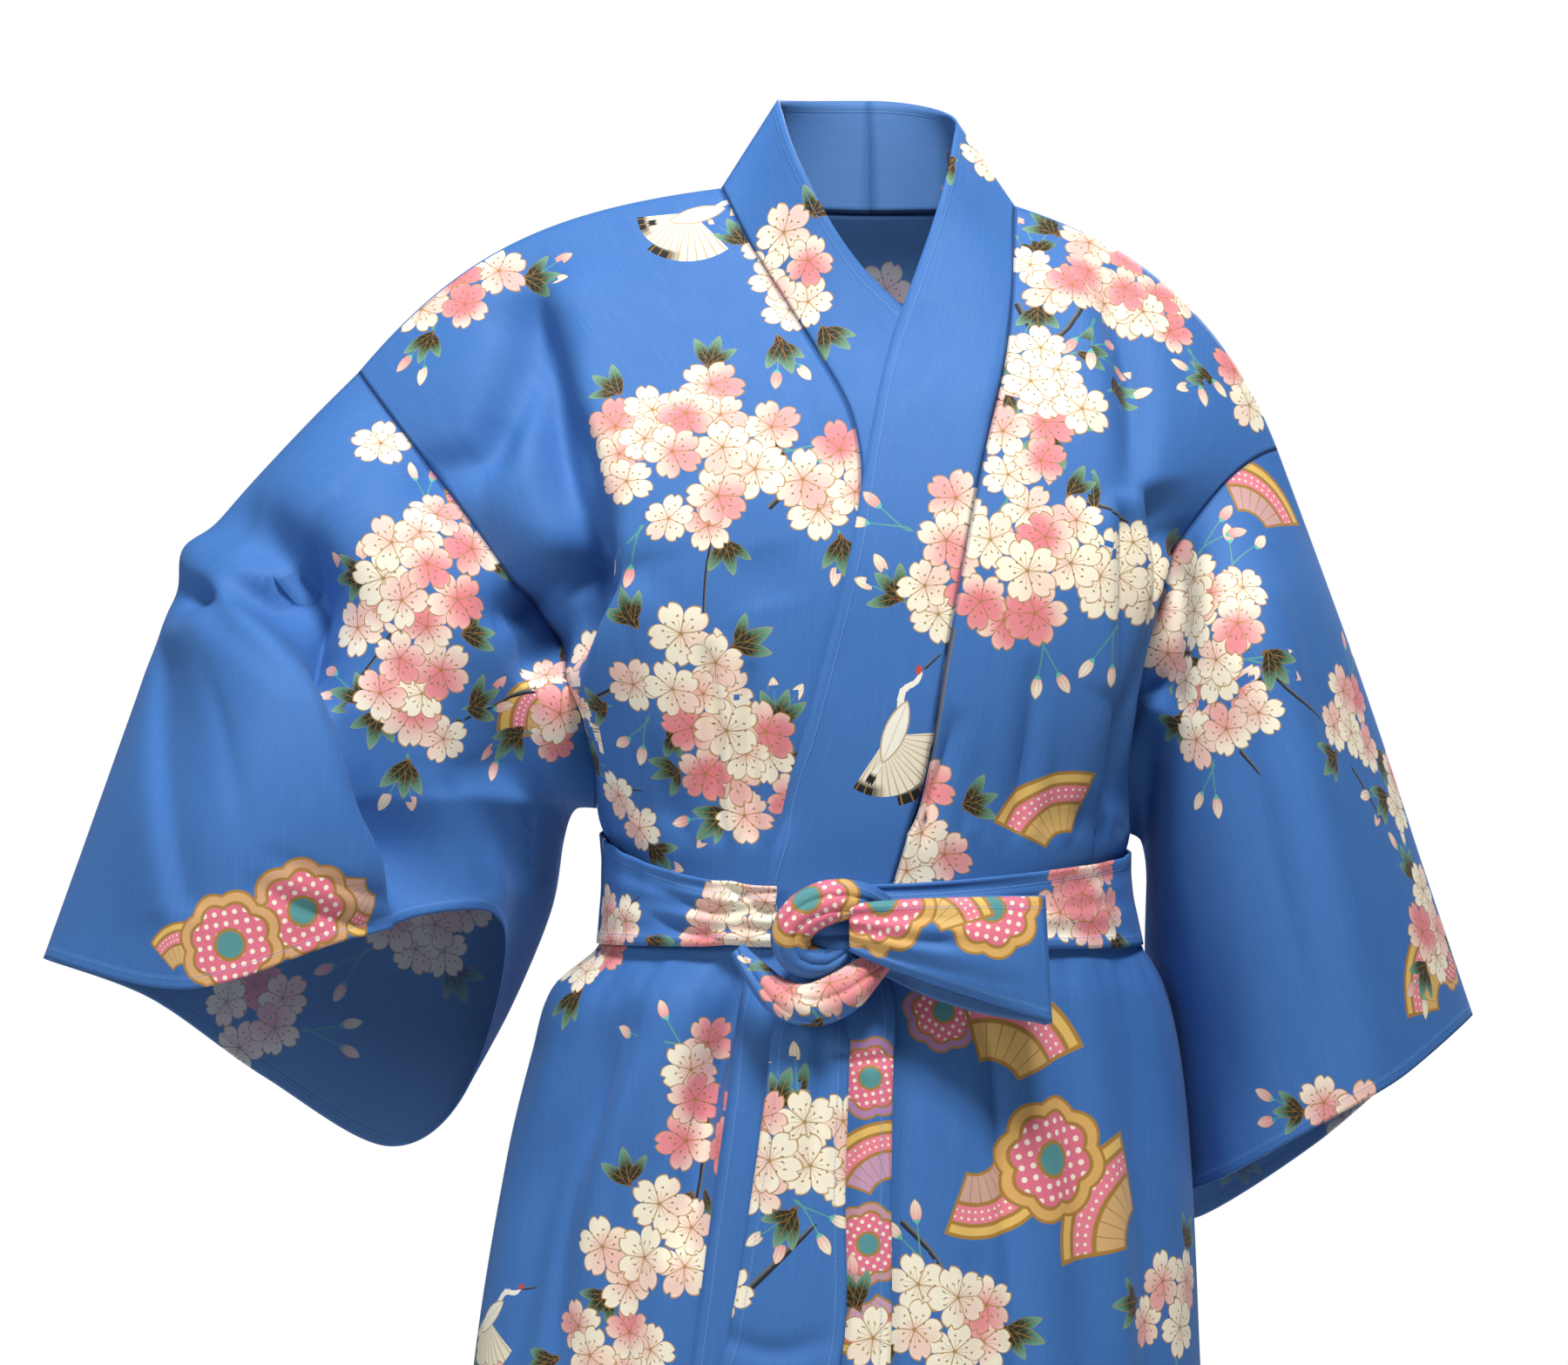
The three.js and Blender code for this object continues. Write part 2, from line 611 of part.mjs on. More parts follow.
// ---------------------------------------------------------------- the belt
// A point over the plain body, moved out by lift.
function overBody(face, s, drop, lift) {
  const step = 0.01;
  const here = row(face, s, drop);
  const across = row(face, Math.min(s + step, 1), drop).sub(row(face, Math.max(s - step, -1), drop));
  const down = row(face, s, drop + 4).sub(row(face, s, drop - 4));
  const normal = down.cross(across).normalize();
  if (face === "back") normal.negate();
  return here.addScaledVector(normal, lift);
}

// The stretch of the belt round the waist, from the knot round the back and back to the knot.
function beltWrap() {
  const columns = 44;
  const rows = 3;
  const knotPlace = placeAt("front", KNOT.at[0], BELT_DROP);
  const stations = Array.from({ length: columns + 1 }, (_, j) => {
    const turn = share(j, columns) * 4; // 0 to 4 quarter turns from the knot, leftwards
    const front = turn <= 1 || turn >= 3;
    let s = 2 - turn;
    if (turn <= 1) s = mix(knotPlace + KNOT_COVER, 1, turn);
    if (turn >= 3) s = mix(-1, knotPlace - KNOT_COVER, turn - 3);
    const nearKnot = Math.max(1 - turn / 1.1, (turn - 2.9) / 1.1, 0);
    return { face: front ? "front" : "back", s, nearKnot };
  });
  const grid = Array.from({ length: rows + 1 }, (_, i) =>
    stations.map(({ face, s, nearKnot }) => {
      const squeeze = ease(nearKnot);
      const half = mix(BELT_HALF, KNOT_SQUEEZE.half, squeeze);
      const middle = BELT_DROP + KNOT_SQUEEZE.drop * squeeze - CENTRE_RISE * (1 - Math.abs(s));
      const drop = middle + mix(-half, half, share(i, rows));
      return overBody(face, s, drop, BELT_LIFT + KNOT_SQUEEZE.lift * squeeze);
    }));
  const panel = { grid, flip: false, wall: BAND_WALL };
  panel.normals = gridNormals(panel);
  return wallGeometry(panel);
}

// A free end of the belt, hanging from the knot and lying on the skirt lower down.
function beltTail(name) {
  const tail = TAILS[name];
  const [top, end] = [tail.rows[0][0], tail.rows.at(-1)[0]];
  const rows = 20;
  const columns = 4;
  const grid = Array.from({ length: rows + 1 }, (_, i) => {
    const drop = mix(top, end, share(i, rows));
    const read = (column) => look(tail, column, drop);
    return Array.from({ length: columns + 1 }, (_, j) => {
      const x = mix(read("left"), read("right"), share(j, columns));
      const roll = TAIL_ROLL * (1 - share(i, rows)) * Math.sin(share(j, columns) * Math.PI);
      return new THREE.Vector3(x, frontDepth(x, -drop) - read("lift") - roll, -drop);
    });
  });
  const panel = { grid, flip: false, wall: BAND_WALL };
  panel.normals = gridNormals(panel);
  return wallGeometry(panel);
}

function beltLoop() {
  const rows = 4;
  const run = 9; // steps along one layer
  const { inner, outer, backY, frontY, bulge } = LOOP;
  const steps = [];
  for (let k = 0; k <= run; k += 1) steps.push({ t: share(k, run), front: 0 });
  for (let k = 1; k < 4; k += 1) steps.push({ t: 1, front: share(k, 4), turning: true });
  for (let k = run; k >= 0; k -= 1) steps.push({ t: share(k, run), front: 1 });
  const grid = Array.from({ length: rows + 1 }, (_, i) =>
    steps.map(({ t, front, turning }) => {
      const half = mix(inner.half, outer.half, t ** 0.8);
      const out = turning ? 5 * Math.sin(front * Math.PI) : 0;
      const spread = front === 0 ? 1 : front === 1 ? -1 : Math.cos(front * Math.PI);
      return new THREE.Vector3(
        mix(inner.x, outer.x, t) + out,
        mix((backY + frontY) / 2, spread > 0 ? backY : frontY, Math.abs(spread)) -
          (front === 1 ? bulge * Math.sin(t * Math.PI) : 0),
        mix(inner.z, outer.z, t) + mix(half, -half, share(i, rows)),
      );
    }));
  const panel = { grid, flip: true, wall: BAND_WALL };
  panel.normals = gridNormals(panel);
  return wallGeometry(panel);
}

// The knot and the fold under it: cloth pulled tight, so solid right through.
function knotGeometry({ at, half, lean }) {
  const geometry = new THREE.SphereGeometry(1, 20, 12);
  geometry.deleteAttribute("uv");
  geometry.scale(...half);
  geometry.rotateY(lean);
  geometry.translate(...at);
  return geometry;
}

// ---------------------------------------------------------------- the coat
const cloth = new THREE.MeshStandardMaterial({ color: 0x3f74bd, roughness: 0.85, metalness: 0 });
const band = new THREE.MeshStandardMaterial({ color: 0x4a7cc4, roughness: 0.85, metalness: 0 });

const panels = {
  back: backPanel(),
  front_right: frontPanel("right"),
  front_left: frontPanel("left"),
  sleeve_right: sleevePanel("right"),
  sleeve_left: sleevePanel("left"),
  collar_right: collarBand("right"),
  collar_left: collarBand("left"),
};
foldPanels(Object.values(panels));

const group = new THREE.Group();
function add(name, geometry, material) {
  const mesh = new THREE.Mesh(geometry, material);
  mesh.name = name;
  group.add(mesh);
}
for (const [name, panel] of Object.entries(panels))
  add(name, wallGeometry(panel), name.startsWith("collar") ? band : cloth);
add("belt_wrap", beltWrap(), band);
add("belt_knot", knotGeometry(KNOT), band);
add("belt_knot_fold", knotGeometry(KNOT_FOLD), band);
add("belt_loop", beltLoop(), band);
add("belt_tail_front", beltTail("front"), band);
add("belt_tail_back", beltTail("back"), band);

export default group;
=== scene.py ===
# %% [markdown]
# # A cotton happi coat
# A happi coat is a short kimono cut from straight strips of cloth: two fronts, a back, two wide
# sleeves, a long collar band and a tie belt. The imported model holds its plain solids. This script
# gives each of them its real cloth: finer folds, hems and stitches, and a printed pattern.

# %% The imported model
import math
import random

import bmesh
import bpy
import numpy as np
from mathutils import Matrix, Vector


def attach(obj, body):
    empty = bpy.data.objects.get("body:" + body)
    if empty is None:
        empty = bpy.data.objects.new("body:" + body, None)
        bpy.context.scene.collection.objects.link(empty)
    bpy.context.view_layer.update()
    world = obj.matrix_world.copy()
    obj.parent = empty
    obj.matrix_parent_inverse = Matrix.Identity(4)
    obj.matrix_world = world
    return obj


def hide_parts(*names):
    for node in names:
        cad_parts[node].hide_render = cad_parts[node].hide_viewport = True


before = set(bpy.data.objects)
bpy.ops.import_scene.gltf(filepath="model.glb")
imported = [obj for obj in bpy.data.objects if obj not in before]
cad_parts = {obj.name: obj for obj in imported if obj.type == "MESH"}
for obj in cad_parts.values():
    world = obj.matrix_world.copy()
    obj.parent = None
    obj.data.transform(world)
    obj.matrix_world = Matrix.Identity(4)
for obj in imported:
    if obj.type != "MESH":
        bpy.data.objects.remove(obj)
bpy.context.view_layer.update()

print("packed nodes:", sorted(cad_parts))

# %% [markdown]
# ## The camera first
# A long lens far from the coat keeps its proportions true. The camera stands level with the lower
# chest and looks straight ahead, so the frame holds the coat from the neck to the middle of the skirt.

# %% Camera
MM = 0.001
IMAGE_WIDTH = 1800
MM_PER_PIXEL = 0.54  # at the depth of the shoulders
CAMERA_AWAY = 2600
CAMERA_X, CAMERA_Z = -54, -307

scene = bpy.context.scene
camera_data = bpy.data.cameras.new("camera")
camera_data.sensor_width = 36
camera_data.lens = 36 * CAMERA_AWAY / (IMAGE_WIDTH * MM_PER_PIXEL)
camera_data.clip_end = 50
camera = bpy.data.objects.new("camera", camera_data)
camera.location = Vector((CAMERA_X, -CAMERA_AWAY, CAMERA_Z)) * MM
camera.rotation_euler = (math.pi / 2, 0, 0)
scene.collection.objects.link(camera)
scene.camera = camera
print("lens", round(camera_data.lens, 1), "mm")

# %% [markdown]
# ## The sizes that make the form
# Cloth on a wearer is one smooth surface with folds in it. So the coat starts from the same short
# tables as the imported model, in millimetres: half sections down the body, the armholes, the line
# where the band is sewn on, and sections of each sleeve. Only the steps between rows are finer here.

# %% Sizes
GARMENT_DROP = 900
ARMHOLE_DROP = 385
SHOULDER_RISE = 8
OVERLAP_LIFT = 5.0
BELT_DROP = 434
BELT_HALF = 37
CLOTH = 1.0  # thickness of one layer as shown
BAND = 1.8  # collar band and belt, sewn of two layers

ARMHOLE_ROWS = 104
SKIRT_ROWS = 104
FRONT_COLUMNS = 68
NECK_COLUMNS = 16
BAND_COLUMNS = 16
SLEEVE_ROWS = 112


class Table:
    """Rows with named columns, read as a smooth curve over the first column."""

    def __init__(self, columns, rows):
        self.names = columns.split()
        self.rows = np.array(rows, float)

    def __call__(self, column, key):
        rows, c = self.rows, self.names.index(column)
        k = np.clip(np.asarray(key, float), rows[0, 0], rows[-1, 0])
        last = len(rows) - 1
        i = np.clip(np.searchsorted(rows[:, 0], k, side="left") - 1, 0, last - 1)
        before, after = np.maximum(i - 1, 0), np.minimum(i + 2, last)
        start = (rows[i + 1, c] - rows[before, c]) / (rows[i + 1, 0] - rows[before, 0])
        end = (rows[after, c] - rows[i, c]) / (rows[after, 0] - rows[i, 0])
        span = rows[i + 1, 0] - rows[i, 0]
        return hermite(rows[i, c], rows[i + 1, c], start * span, end * span, (k - rows[i, 0]) / span)


def hermite(a, b, start, end, t):
    return (
        a * (1 + 2 * t) * (1 - t) ** 2
        + start * t * (1 - t) ** 2
        + b * t * t * (3 - 2 * t)
        + end * t * t * (t - 1)
    )


TORSO = Table("drop front back right left side", [
    [0, 0, 52, -170, 160, 2],
    [45, -26, 74, -170, 160, 2],
    [95, -55, 86, -170, 160, 2],
    [150, -88, 93, -170, 160, 2],
    [230, -114, 96, -170, 160, 2],
    [305, -116, 92, -170, 160, 2],
    [385, -111, 84, -170, 160, 2],
    [425, -109, 78, -158, 152, 4],
    [470, -112, 81, -169, 168, 6],
    [496, -121, 94, -197, 182, 8],
    [535, -128, 106, -210, 192, 10],
    [600, -135, 118, -226, 199, 12],
    [730, -147, 130, -247, 205, 14],
    [900, -160, 140, -262, 213, 16],
])

TURN = {
    "right": Table("drop reach x y z backY", [
        [0, 0.55, 78, 0, 93, 0],
        [100, 0.5, 58, -34, 42, 34],
        [200, 0.52, 34, -52, 22, 52],
        [300, 0.54, 6, -62, 6, 56],
        [385, 0.55, 0, -62, 0, 46],
        [900, 0.55, 0, -94, 0, 74],
    ]),
    "left": Table("drop reach x y z backY", [
        [0, 0.44, -47, 0, 123, 0],
        [100, 0.5, -34, -42, 58, 36],
        [200, 0.54, 18, -62, 28, 54],
        [300, 0.55, 18, -70, 8, 58],
        [385, 0.55, 2, -66, 0, 46],
        [900, 0.55, 0, -94, 0, 74],
    ]),
}

# Four points of a curve each: the top of the shoulder, two handles, the underarm.
ARMHOLE = {
    ("right", "front"): [[-318, 0, -115], [-262, -72, -190], [-165, -84, -290], [-170, 2, -385]],
    ("right", "back"): [[-318, 0, -115], [-268, 66, -185], [-178, 84, -285], [-170, 2, -385]],
    ("left", "front"): [[252, 0, -163], [190, -78, -180], [140, -64, -300], [160, 2, -400]],
    ("left", "back"): [[252, 0, -163], [205, 62, -205], [150, 84, -300], [160, 2, -400]],
}

BAND_SEAM = {
    "right": Table("drop x", [
        [0, -93], [40, -74], [75, -54], [110, -34], [150, -14], [190, -8],
        [300, -14], [436, -22], [600, 2], [900, 32],
    ]),
    "left": Table("drop x", [
        [0, 89], [50, 85], [100, 79], [150, 68], [200, 58], [250, 49], [300, 40],
        [350, 31], [400, 18], [436, 8], [480, -2], [560, -14], [730, -36], [900, -58],
    ]),
}

BAND_EDGE = {
    "right": Table("drop x y z cling", [
        [0, -58, 12, 56, 0],
        [40, -49, -22, 22, 0],
        [75, -31, -48, -17, 0.1],
        [110, -8, -64, -52, 0.5],
        [150, 28, -80, -92, 1],
        [190, 52, -90, -150, 1],
        [300, 58, -110, -290, 1],
        [436, 52, -110, -430, 1],
        [600, 78, -130, -600, 1],
        [900, 108, -150, -893, 1],
    ]),
    "left": Table("drop x y z cling", [
        [0, 54, 12, 42, 0],
        [50, 45, -26, 0, 0],
        [100, 26, -52, -58, 0.3],
        [150, 8, -78, -112, 1],
        [200, -3, -100, -163, 1],
        [250, -12, -110, -216, 1],
        [300, -22, -110, -262, 1],
        [350, -36, -110, -315, 1],
        [400, -51, -110, -375, 1],
        [436, -63, -110, -420, 1],
        [480, -74, -115, -472, 1],
        [560, -86, -125, -556, 1],
        [730, -109, -140, -722, 1],
        [900, -130, -150, -890, 1],
    ]),
}
NECK_DEPTH, NECK_DROP, BAND_LEAN, BAND_HEIGHT = 58, 4, 6, 62

# Sections from armhole to cuff: the top fold, three places down the front, the underside, three
# up the back.
SLEEVE = {
    "right": [
        [[-364, 0, -162], [-316, -75, -200], [-258, -85, -253], [-201, -65, -316],
         [-184, 5, -386], [-198, 75, -340], [-250, 85, -265], [-315, 70, -200]],
        [[-421, 5, -229], [-374, -92, -263], [-304, -105, -277], [-219, -68, -340],
         [-192, 15, -400], [-210, 80, -398], [-285, 90, -330], [-380, 65, -262]],
        [[-447, 0, -294], [-392, -124, -338], [-326, -132, -318], [-233, -72, -368],
         [-200, 28, -440], [-225, 80, -462], [-310, 85, -412], [-410, 60, -342]],
        [[-476, -20, -383], [-405, -146, -402], [-316, -142, -376], [-230, -58, -400],
         [-222, 42, -500], [-262, 80, -532], [-345, 80, -492], [-430, 45, -436]],
        [[-506, -40, -475], [-402, -152, -486], [-302, -136, -456], [-226, -40, -452],
         [-252, 50, -560], [-305, 76, -603], [-385, 70, -558], [-452, 32, -505]],
    ],
    "left": [
        [[283, 0, -247], [245, -70, -258], [206, -90, -284], [177, -52, -334],
         [174, 45, -416], [187, 100, -398], [235, 100, -330], [270, 60, -275]],
        [[313, 0, -332], [265, -84, -347], [217, -95, -368], [187, -42, -412],
         [176, 72, -486], [198, 125, -478], [260, 124, -412], [300, 72, -352]],
        [[343, 0, -424], [290, -90, -441], [238, -96, -467], [203, -34, -503],
         [184, 92, -566], [208, 140, -568], [280, 130, -508], [326, 70, -447]],
        [[373, 0, -513], [316, -90, -543], [264, -96, -572], [216, -34, -609],
         [190, 104, -642], [218, 150, -657], [292, 134, -608], [346, 66, -547]],
    ],
}

# %% [markdown]
# ## Folds
# Cloth that hangs from a bent arm falls into two kinds of fold. A furrow is soft on both sides. A ledge
# is a step, where one side stands proud of its line and the other lies in its shade. The big ones
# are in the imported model, and small ones join them here. Each row gives its size and a line seen from
# the front. A furrow has a depth and a width. A ledge has the height of its left side and of its right
# side, the softness of its step and how far each side reaches.

# %% Fold tables
FOLDS = [
    (16, 14, [[-207, -60], [-210, -87], [-218, -117], [-226, -145], [-240, -170], [-266, -178]]),
    (27, 14, [[-166, -210], [-182, -243], [-190, -264], [-184, -292]]),
    (15, 12, [[-182, -243], [-204, -256], [-226, -262]]),
    (5, 22, [[-70, -226], [-62, -262]]),
    (7, 4.5, [[-100, -290], [-97, -330], [-95, -398]]),
    (7, 4.5, [[-74, -300], [-75, -350], [-73, -398]]),
    (6, 6, [[-130, -345], [-124, -372], [-120, -398]]),
    (5, 7, [[-52, -330], [-52, -398]]),
    (6, 6, [[46, -330], [36, -365], [28, -396]]),
    (6, 7, [[94, -300], [88, -350], [80, -396]]),
    (-6, 13, [[106, -42], [124, -84], [138, -140]]),
    (11, 11, [[144, -72], [155, -110], [158, -150], [154, -186]]),
    (21, 10, [[-82, -482], [-94, -520], [-104, -560], [-114, -640]]),
    (-10, 15, [[-116, -486], [-134, -530], [-158, -590], [-176, -680]]),
    (16, 15, [[-166, -500], [-180, -560], [-202, -620], [-216, -720]]),
    (7, 14, [[-138, -600], [-150, -680], [-160, -760], [-166, -880]]),
    (9, 16, [[56, -488], [64, -600], [72, -880]]),
    (10, 16, [[104, -488], [122, -600], [132, -880]]),
    (10, 14, [[146, -488], [164, -590], [174, -880]]),
    (12, 9, [[-424, -250], [-404, -256], [-384, -270]]),
    (34, 20, [[-386, -210], [-360, -228], [-338, -254], [-322, -290]]),
    (20, 13, [[-192, -92], [-196, -138], [-190, -188], [-176, -232]]),
    (10, 18, [[-290, -372], [-270, -420], [-260, -470]]),
    (-9, 12, [[-256, -356], [-244, -400], [-238, -440]]),
    (4, 5, [[-362, -425], [-330, -440], [-296, -452]]),
    (3, 4, [[-352, -408], [-318, -424], [-288, -436]]),
    (5, 12, [[-232, -140], [-234, -182]]),
    (7, 20, [[206, -300], [226, -400], [252, -560]]),
    (-6, 18, [[236, -260], [262, -380], [298, -530]]),
]
LEDGES = [
    (-14, 7, 6, 34, 36, [[-207, -57], [-195, -87], [-182, -129], [-167, -165], [-160, -205], [-152, -241]]),
    (-20, 7, 5, 44, 30, [[-148, -238], [-174, -288], [-197, -314], [-205, -382]]),
    (14, -36, 6, 50, 56, [[-400, -238], [-392, -253], [-369, -267], [-345, -285], [-329, -306],
                          [-319, -332], [-310, -359], [-303, -381], [-289, -410], [-283, -446]]),
    (3, -5, 5, 30, 26, [[-438, -278], [-434, -337], [-419, -407], [-409, -446]]),
    (5, -14, 4, 24, 22, [[142, -196], [143, -250], [141, -319], [134, -386]]),
    (7, -18, 5, 24, 24, [[159, -186], [170, -240], [166, -280], [154, -320]]),
    (4, -5, 4, 20, 24, [[60, -492], [70, -600], [78, -740], [82, -890]]),
    (5, -6, 5, 24, 26, [[-150, -490], [-176, -560], [-196, -660], [-204, -880]]),
]
BUMPS = [(-421, -227, 15, 8), (-419, -256, 11, -8)]  # the elbow's point and the notch under it
SMALL_FOLDS = [
    (1.6, 5, [[-120, -352], [-112, -378], [-106, -400]]),
    (1.8, 4, [[-84, -340], [-80, -372], [-77, -400]]),
    (1.4, 4, [[-56, -350], [-54, -398]]),
    (1.6, 5, [[60, -350], [54, -398]]),
    (1.4, 4, [[108, -352], [102, -396]]),
    (1.5, 5, [[-150, -486], [-166, -530], [-178, -600]]),
    (1.5, 5, [[-126, -486], [-140, -560], [-150, -640]]),
    (1.6, 5, [[-100, -484], [-112, -560], [-122, -660]]),
    (1.2, 5, [[34, -486], [40, -560], [44, -640]]),
    (1.2, 5, [[82, -486], [92, -560], [100, -660]]),
    (1.4, 5, [[128, -486], [142, -540], [152, -620]]),
    (1.2, 6, [[-60, -96], [-44, -132], [-32, -170]]),
    (1.4, 7, [[-262, -140], [-240, -190], [-232, -230]]),
    (2.2, 7, [[-410, -262], [-372, -286], [-344, -312]]),
    (1.8, 6, [[-418, -232], [-392, -236], [-362, -248]]),
    (1.8, 7, [[-396, -300], [-378, -350], [-368, -400]]),
    (2.4, 8, [[-300, -330], [-288, -380], [-282, -440]]),
    (2.0, 7, [[-246, -330], [-240, -370], [-236, -410]]),
    (1.6, 8, [[250, -230], [268, -300], [282, -360]]),
    (1.6, 8, [[222, -330], [240, -420], [262, -510]]),
    (1.2, 6, [[170, -66], [186, -96], [196, -130]]),
]
BACK_FOLDS = [
    (6, 18, [[-150, -150], [-120, -260], [-90, -400]]),
    (6, 18, [[140, -170], [112, -270], [84, -400]]),
    (6, 12, [[-46, -320], [-42, -398]]),
    (6, 12, [[44, -320], [40, -398]]),
    (8, 20, [[-60, -488], [-82, -650], [-92, -880]]),
    (8, 20, [[-120, -488], [-156, -650], [-168, -880]]),
    (6, 20, [[4, -488], [6, -650], [4, -880]]),
    (8, 20, [[64, -488], [84, -650], [92, -880]]),
    (8, 18, [[112, -488], [136, -650], [146, -880]]),
]

# %% [markdown]
# ## The body's surface
# Each row of the body is one cubic curve from the centre line to the armhole or side seam. The
# functions take whole arrays, so that thousands of points come from one call.

# %% Surface functions
def ease(t):
    t = np.clip(t, 0, 1)
    return t * t * (3 - 2 * t)


def mix(a, b, t):
    return a + (b - a) * t


def bezier(points, t):
    a, b, c, d = points
    t = np.asarray(t)[..., None]
    return a * (1 - t) ** 3 + 3 * b * t * (1 - t) ** 2 + 3 * c * t * t * (1 - t) + d * t**3


def stack(x, y, z):
    return np.stack(np.broadcast_arrays(x, y, z), -1).astype(float)


def armhole(hand, face, t):
    return bezier([np.array(p, float) for p in ARMHOLE[hand, face]], t)


def row_height(drop):
    upper = SHOULDER_RISE - drop * (ARMHOLE_DROP + SHOULDER_RISE) / ARMHOLE_DROP
    return np.where(drop <= ARMHOLE_DROP, upper, -drop)


def drop_of_height(z):
    upper = (SHOULDER_RISE - z) * ARMHOLE_DROP / (ARMHOLE_DROP + SHOULDER_RISE)
    return np.where(z > -ARMHOLE_DROP, upper, -z)


def row_end(hand, face, drop):
    ring = armhole(hand, face, np.clip(drop / ARMHOLE_DROP, 0, 1))
    sag = ARMHOLE[hand, face][3][2] + ARMHOLE_DROP
    fade = 1 - ease((drop - ARMHOLE_DROP) / 90)
    side = stack(TORSO(hand, drop), TORSO("side", drop), -drop + sag * fade)
    return np.where((drop <= ARMHOLE_DROP)[..., None], ring, side)


def half_row(hand, face, s, drop):
    centre = stack(0 * drop, TORSO(face, drop), row_height(drop))
    end = row_end(hand, face, drop)
    turn = TURN[hand]
    first = stack(end[..., 0] * turn("reach", drop), centre[..., 1], mix(centre[..., 2], end[..., 2], 0.1))
    depth = turn("y", drop) if face == "front" else turn("backY", drop)
    handle = end + stack(turn("x", drop), depth, turn("z", drop))
    return bezier([centre, first, handle, end], np.abs(s))


def row(face, s, drop):
    """s is -1 at the right armhole or side, 0 at the centre line and 1 at the left."""
    s, drop = np.broadcast_arrays(np.asarray(s, float), np.asarray(drop, float))
    return np.where(
        (s < 0)[..., None], half_row("right", face, s, drop), half_row("left", face, s, drop)
    )


def place_at(face, x, drop):
    """Where a row is x from the centre line, by halving."""
    x, drop = np.broadcast_arrays(np.asarray(x, float), np.asarray(drop, float))
    low, high = -np.ones(x.shape), np.ones(x.shape)
    for _ in range(26):
        middle = (low + high) / 2
        short = row(face, middle, drop)[..., 0] < x
        low, high = np.where(short, middle, low), np.where(short, high, middle)
    return (low + high) / 2


def front_depth(x, z):
    drop = drop_of_height(z)
    return row("front", place_at("front", x, drop), drop)[..., 1]


def seam_place(hand, drop):
    return place_at("front", BAND_SEAM[hand]("x", drop), drop)


def along(points, place, closed):
    """The smooth curve through points (first axis), at places counted in intervals."""
    n = len(points)
    place = np.asarray(place, float)
    i = np.minimum(np.floor(place).astype(int), n - 1 if closed else n - 2)
    pick = (lambda k: points[k % n]) if closed else (lambda k: points[np.clip(k, 0, n - 1)])
    p, q, r, s = pick(i - 1), pick(i), pick(i + 1), pick(i + 2)
    t = (place - i).reshape(place.shape + (1,) * (q.ndim - place.ndim))
    return hermite(q, r, (r - p) / 2, (s - q) / 2, t)


def resample(points, count):
    """count + 1 points along the open smooth curve through points."""
    last = len(points) - 1
    return along(points, np.minimum(np.linspace(0, last, count + 1), last - 1e-9), False)


print("waist half widths", TORSO("right", 434), TORSO("left", 434))

# %% [markdown]
# ## Panels as grids
# Every piece of the cut is a grid of points that shares its seam points with its neighbours. Shared
# points get shared normals, so a fold that crosses a seam moves both pieces by the same amount and
# the seam stays shut.

# %% Panels
arm_drops = ARMHOLE_DROP * np.linspace(0, 1, ARMHOLE_ROWS + 1)
skirt_drops = mix(ARMHOLE_DROP, GARMENT_DROP, np.linspace(0, 1, SKIRT_ROWS + 1)[1:] ** 1.1)
DROPS = np.concatenate([arm_drops, skirt_drops])
SHOULDER_NECK = {
    hand: row("front", seam_place(hand, 0.0), 0.0) for hand in ("right", "left")
}


def front_grid(hand):
    side = -1 if hand == "right" else 1
    start = seam_place(hand, DROPS)[:, None]
    s = mix(start, side, np.linspace(0, 1, FRONT_COLUMNS + 1)[None, :])
    return row("front", s, DROPS[:, None])


def neck_curve(hand, t):
    point = SHOULDER_NECK[hand]
    middle = (SHOULDER_NECK["right"][2] + SHOULDER_NECK["left"][2]) / 2 - NECK_DROP
    c, s = np.cos(t * math.pi / 2), np.sin(t * math.pi / 2)
    return stack(point[0] * s, mix(point[1], NECK_DEPTH, c), mix(point[2], middle, c))


def back_grid():
    halves = []
    for hand, side in (("right", -1), ("left", 1)):
        neck = float(seam_place(hand, 0.0))
        inner = np.linspace(0, 1, NECK_COLUMNS + 1)
        outer = np.linspace(0, 1, FRONT_COLUMNS + 1)[1:]
        s = np.concatenate([neck * inner, mix(neck, side, outer)])
        top = np.concatenate([neck_curve(hand, inner), row("front", mix(neck, side, outer), 0.0)])
        fade = (1 - ease(DROPS / 110))[:, None, None]
        grid = row("back", s[None, :], DROPS[:, None])
        halves.append(grid + fade * (top - row("back", s, 0.0))[None])
    return np.concatenate([halves[0][:, ::-1], halves[1][:, 1:]], 1)


def collar_grid(hand):
    t = np.linspace(0, 1, NECK_COLUMNS + 1)
    table = BAND_EDGE[hand]
    c, s = np.cos(t * math.pi / 2), np.sin(t * math.pi / 2)
    neck_edge = stack(
        table("x", 0) * s, mix(table("y", 0), NECK_DEPTH + BAND_LEAN, c), mix(table("z", 0), BAND_HEIGHT, c)
    )
    drops = DROPS[1:]
    seam = np.concatenate([neck_curve(hand, t), row("front", seam_place(hand, drops), drops)])
    edge = np.concatenate([neck_edge, stack(*(table(k, drops) for k in "xyz"))])
    cling = np.clip(np.concatenate([0 * t, table("cling", drops)]), 0, 1)[:, None]
    across = np.linspace(0, 1, BAND_COLUMNS + 1)[None, :, None]
    grid = mix(seam[:, None], edge[:, None], across)
    on_body = front_depth(grid[..., 0], grid[..., 2])
    free = np.where(across[..., 0] > 0, cling, 0)
    grid[..., 1] = mix(grid[..., 1], on_body, free)
    return grid


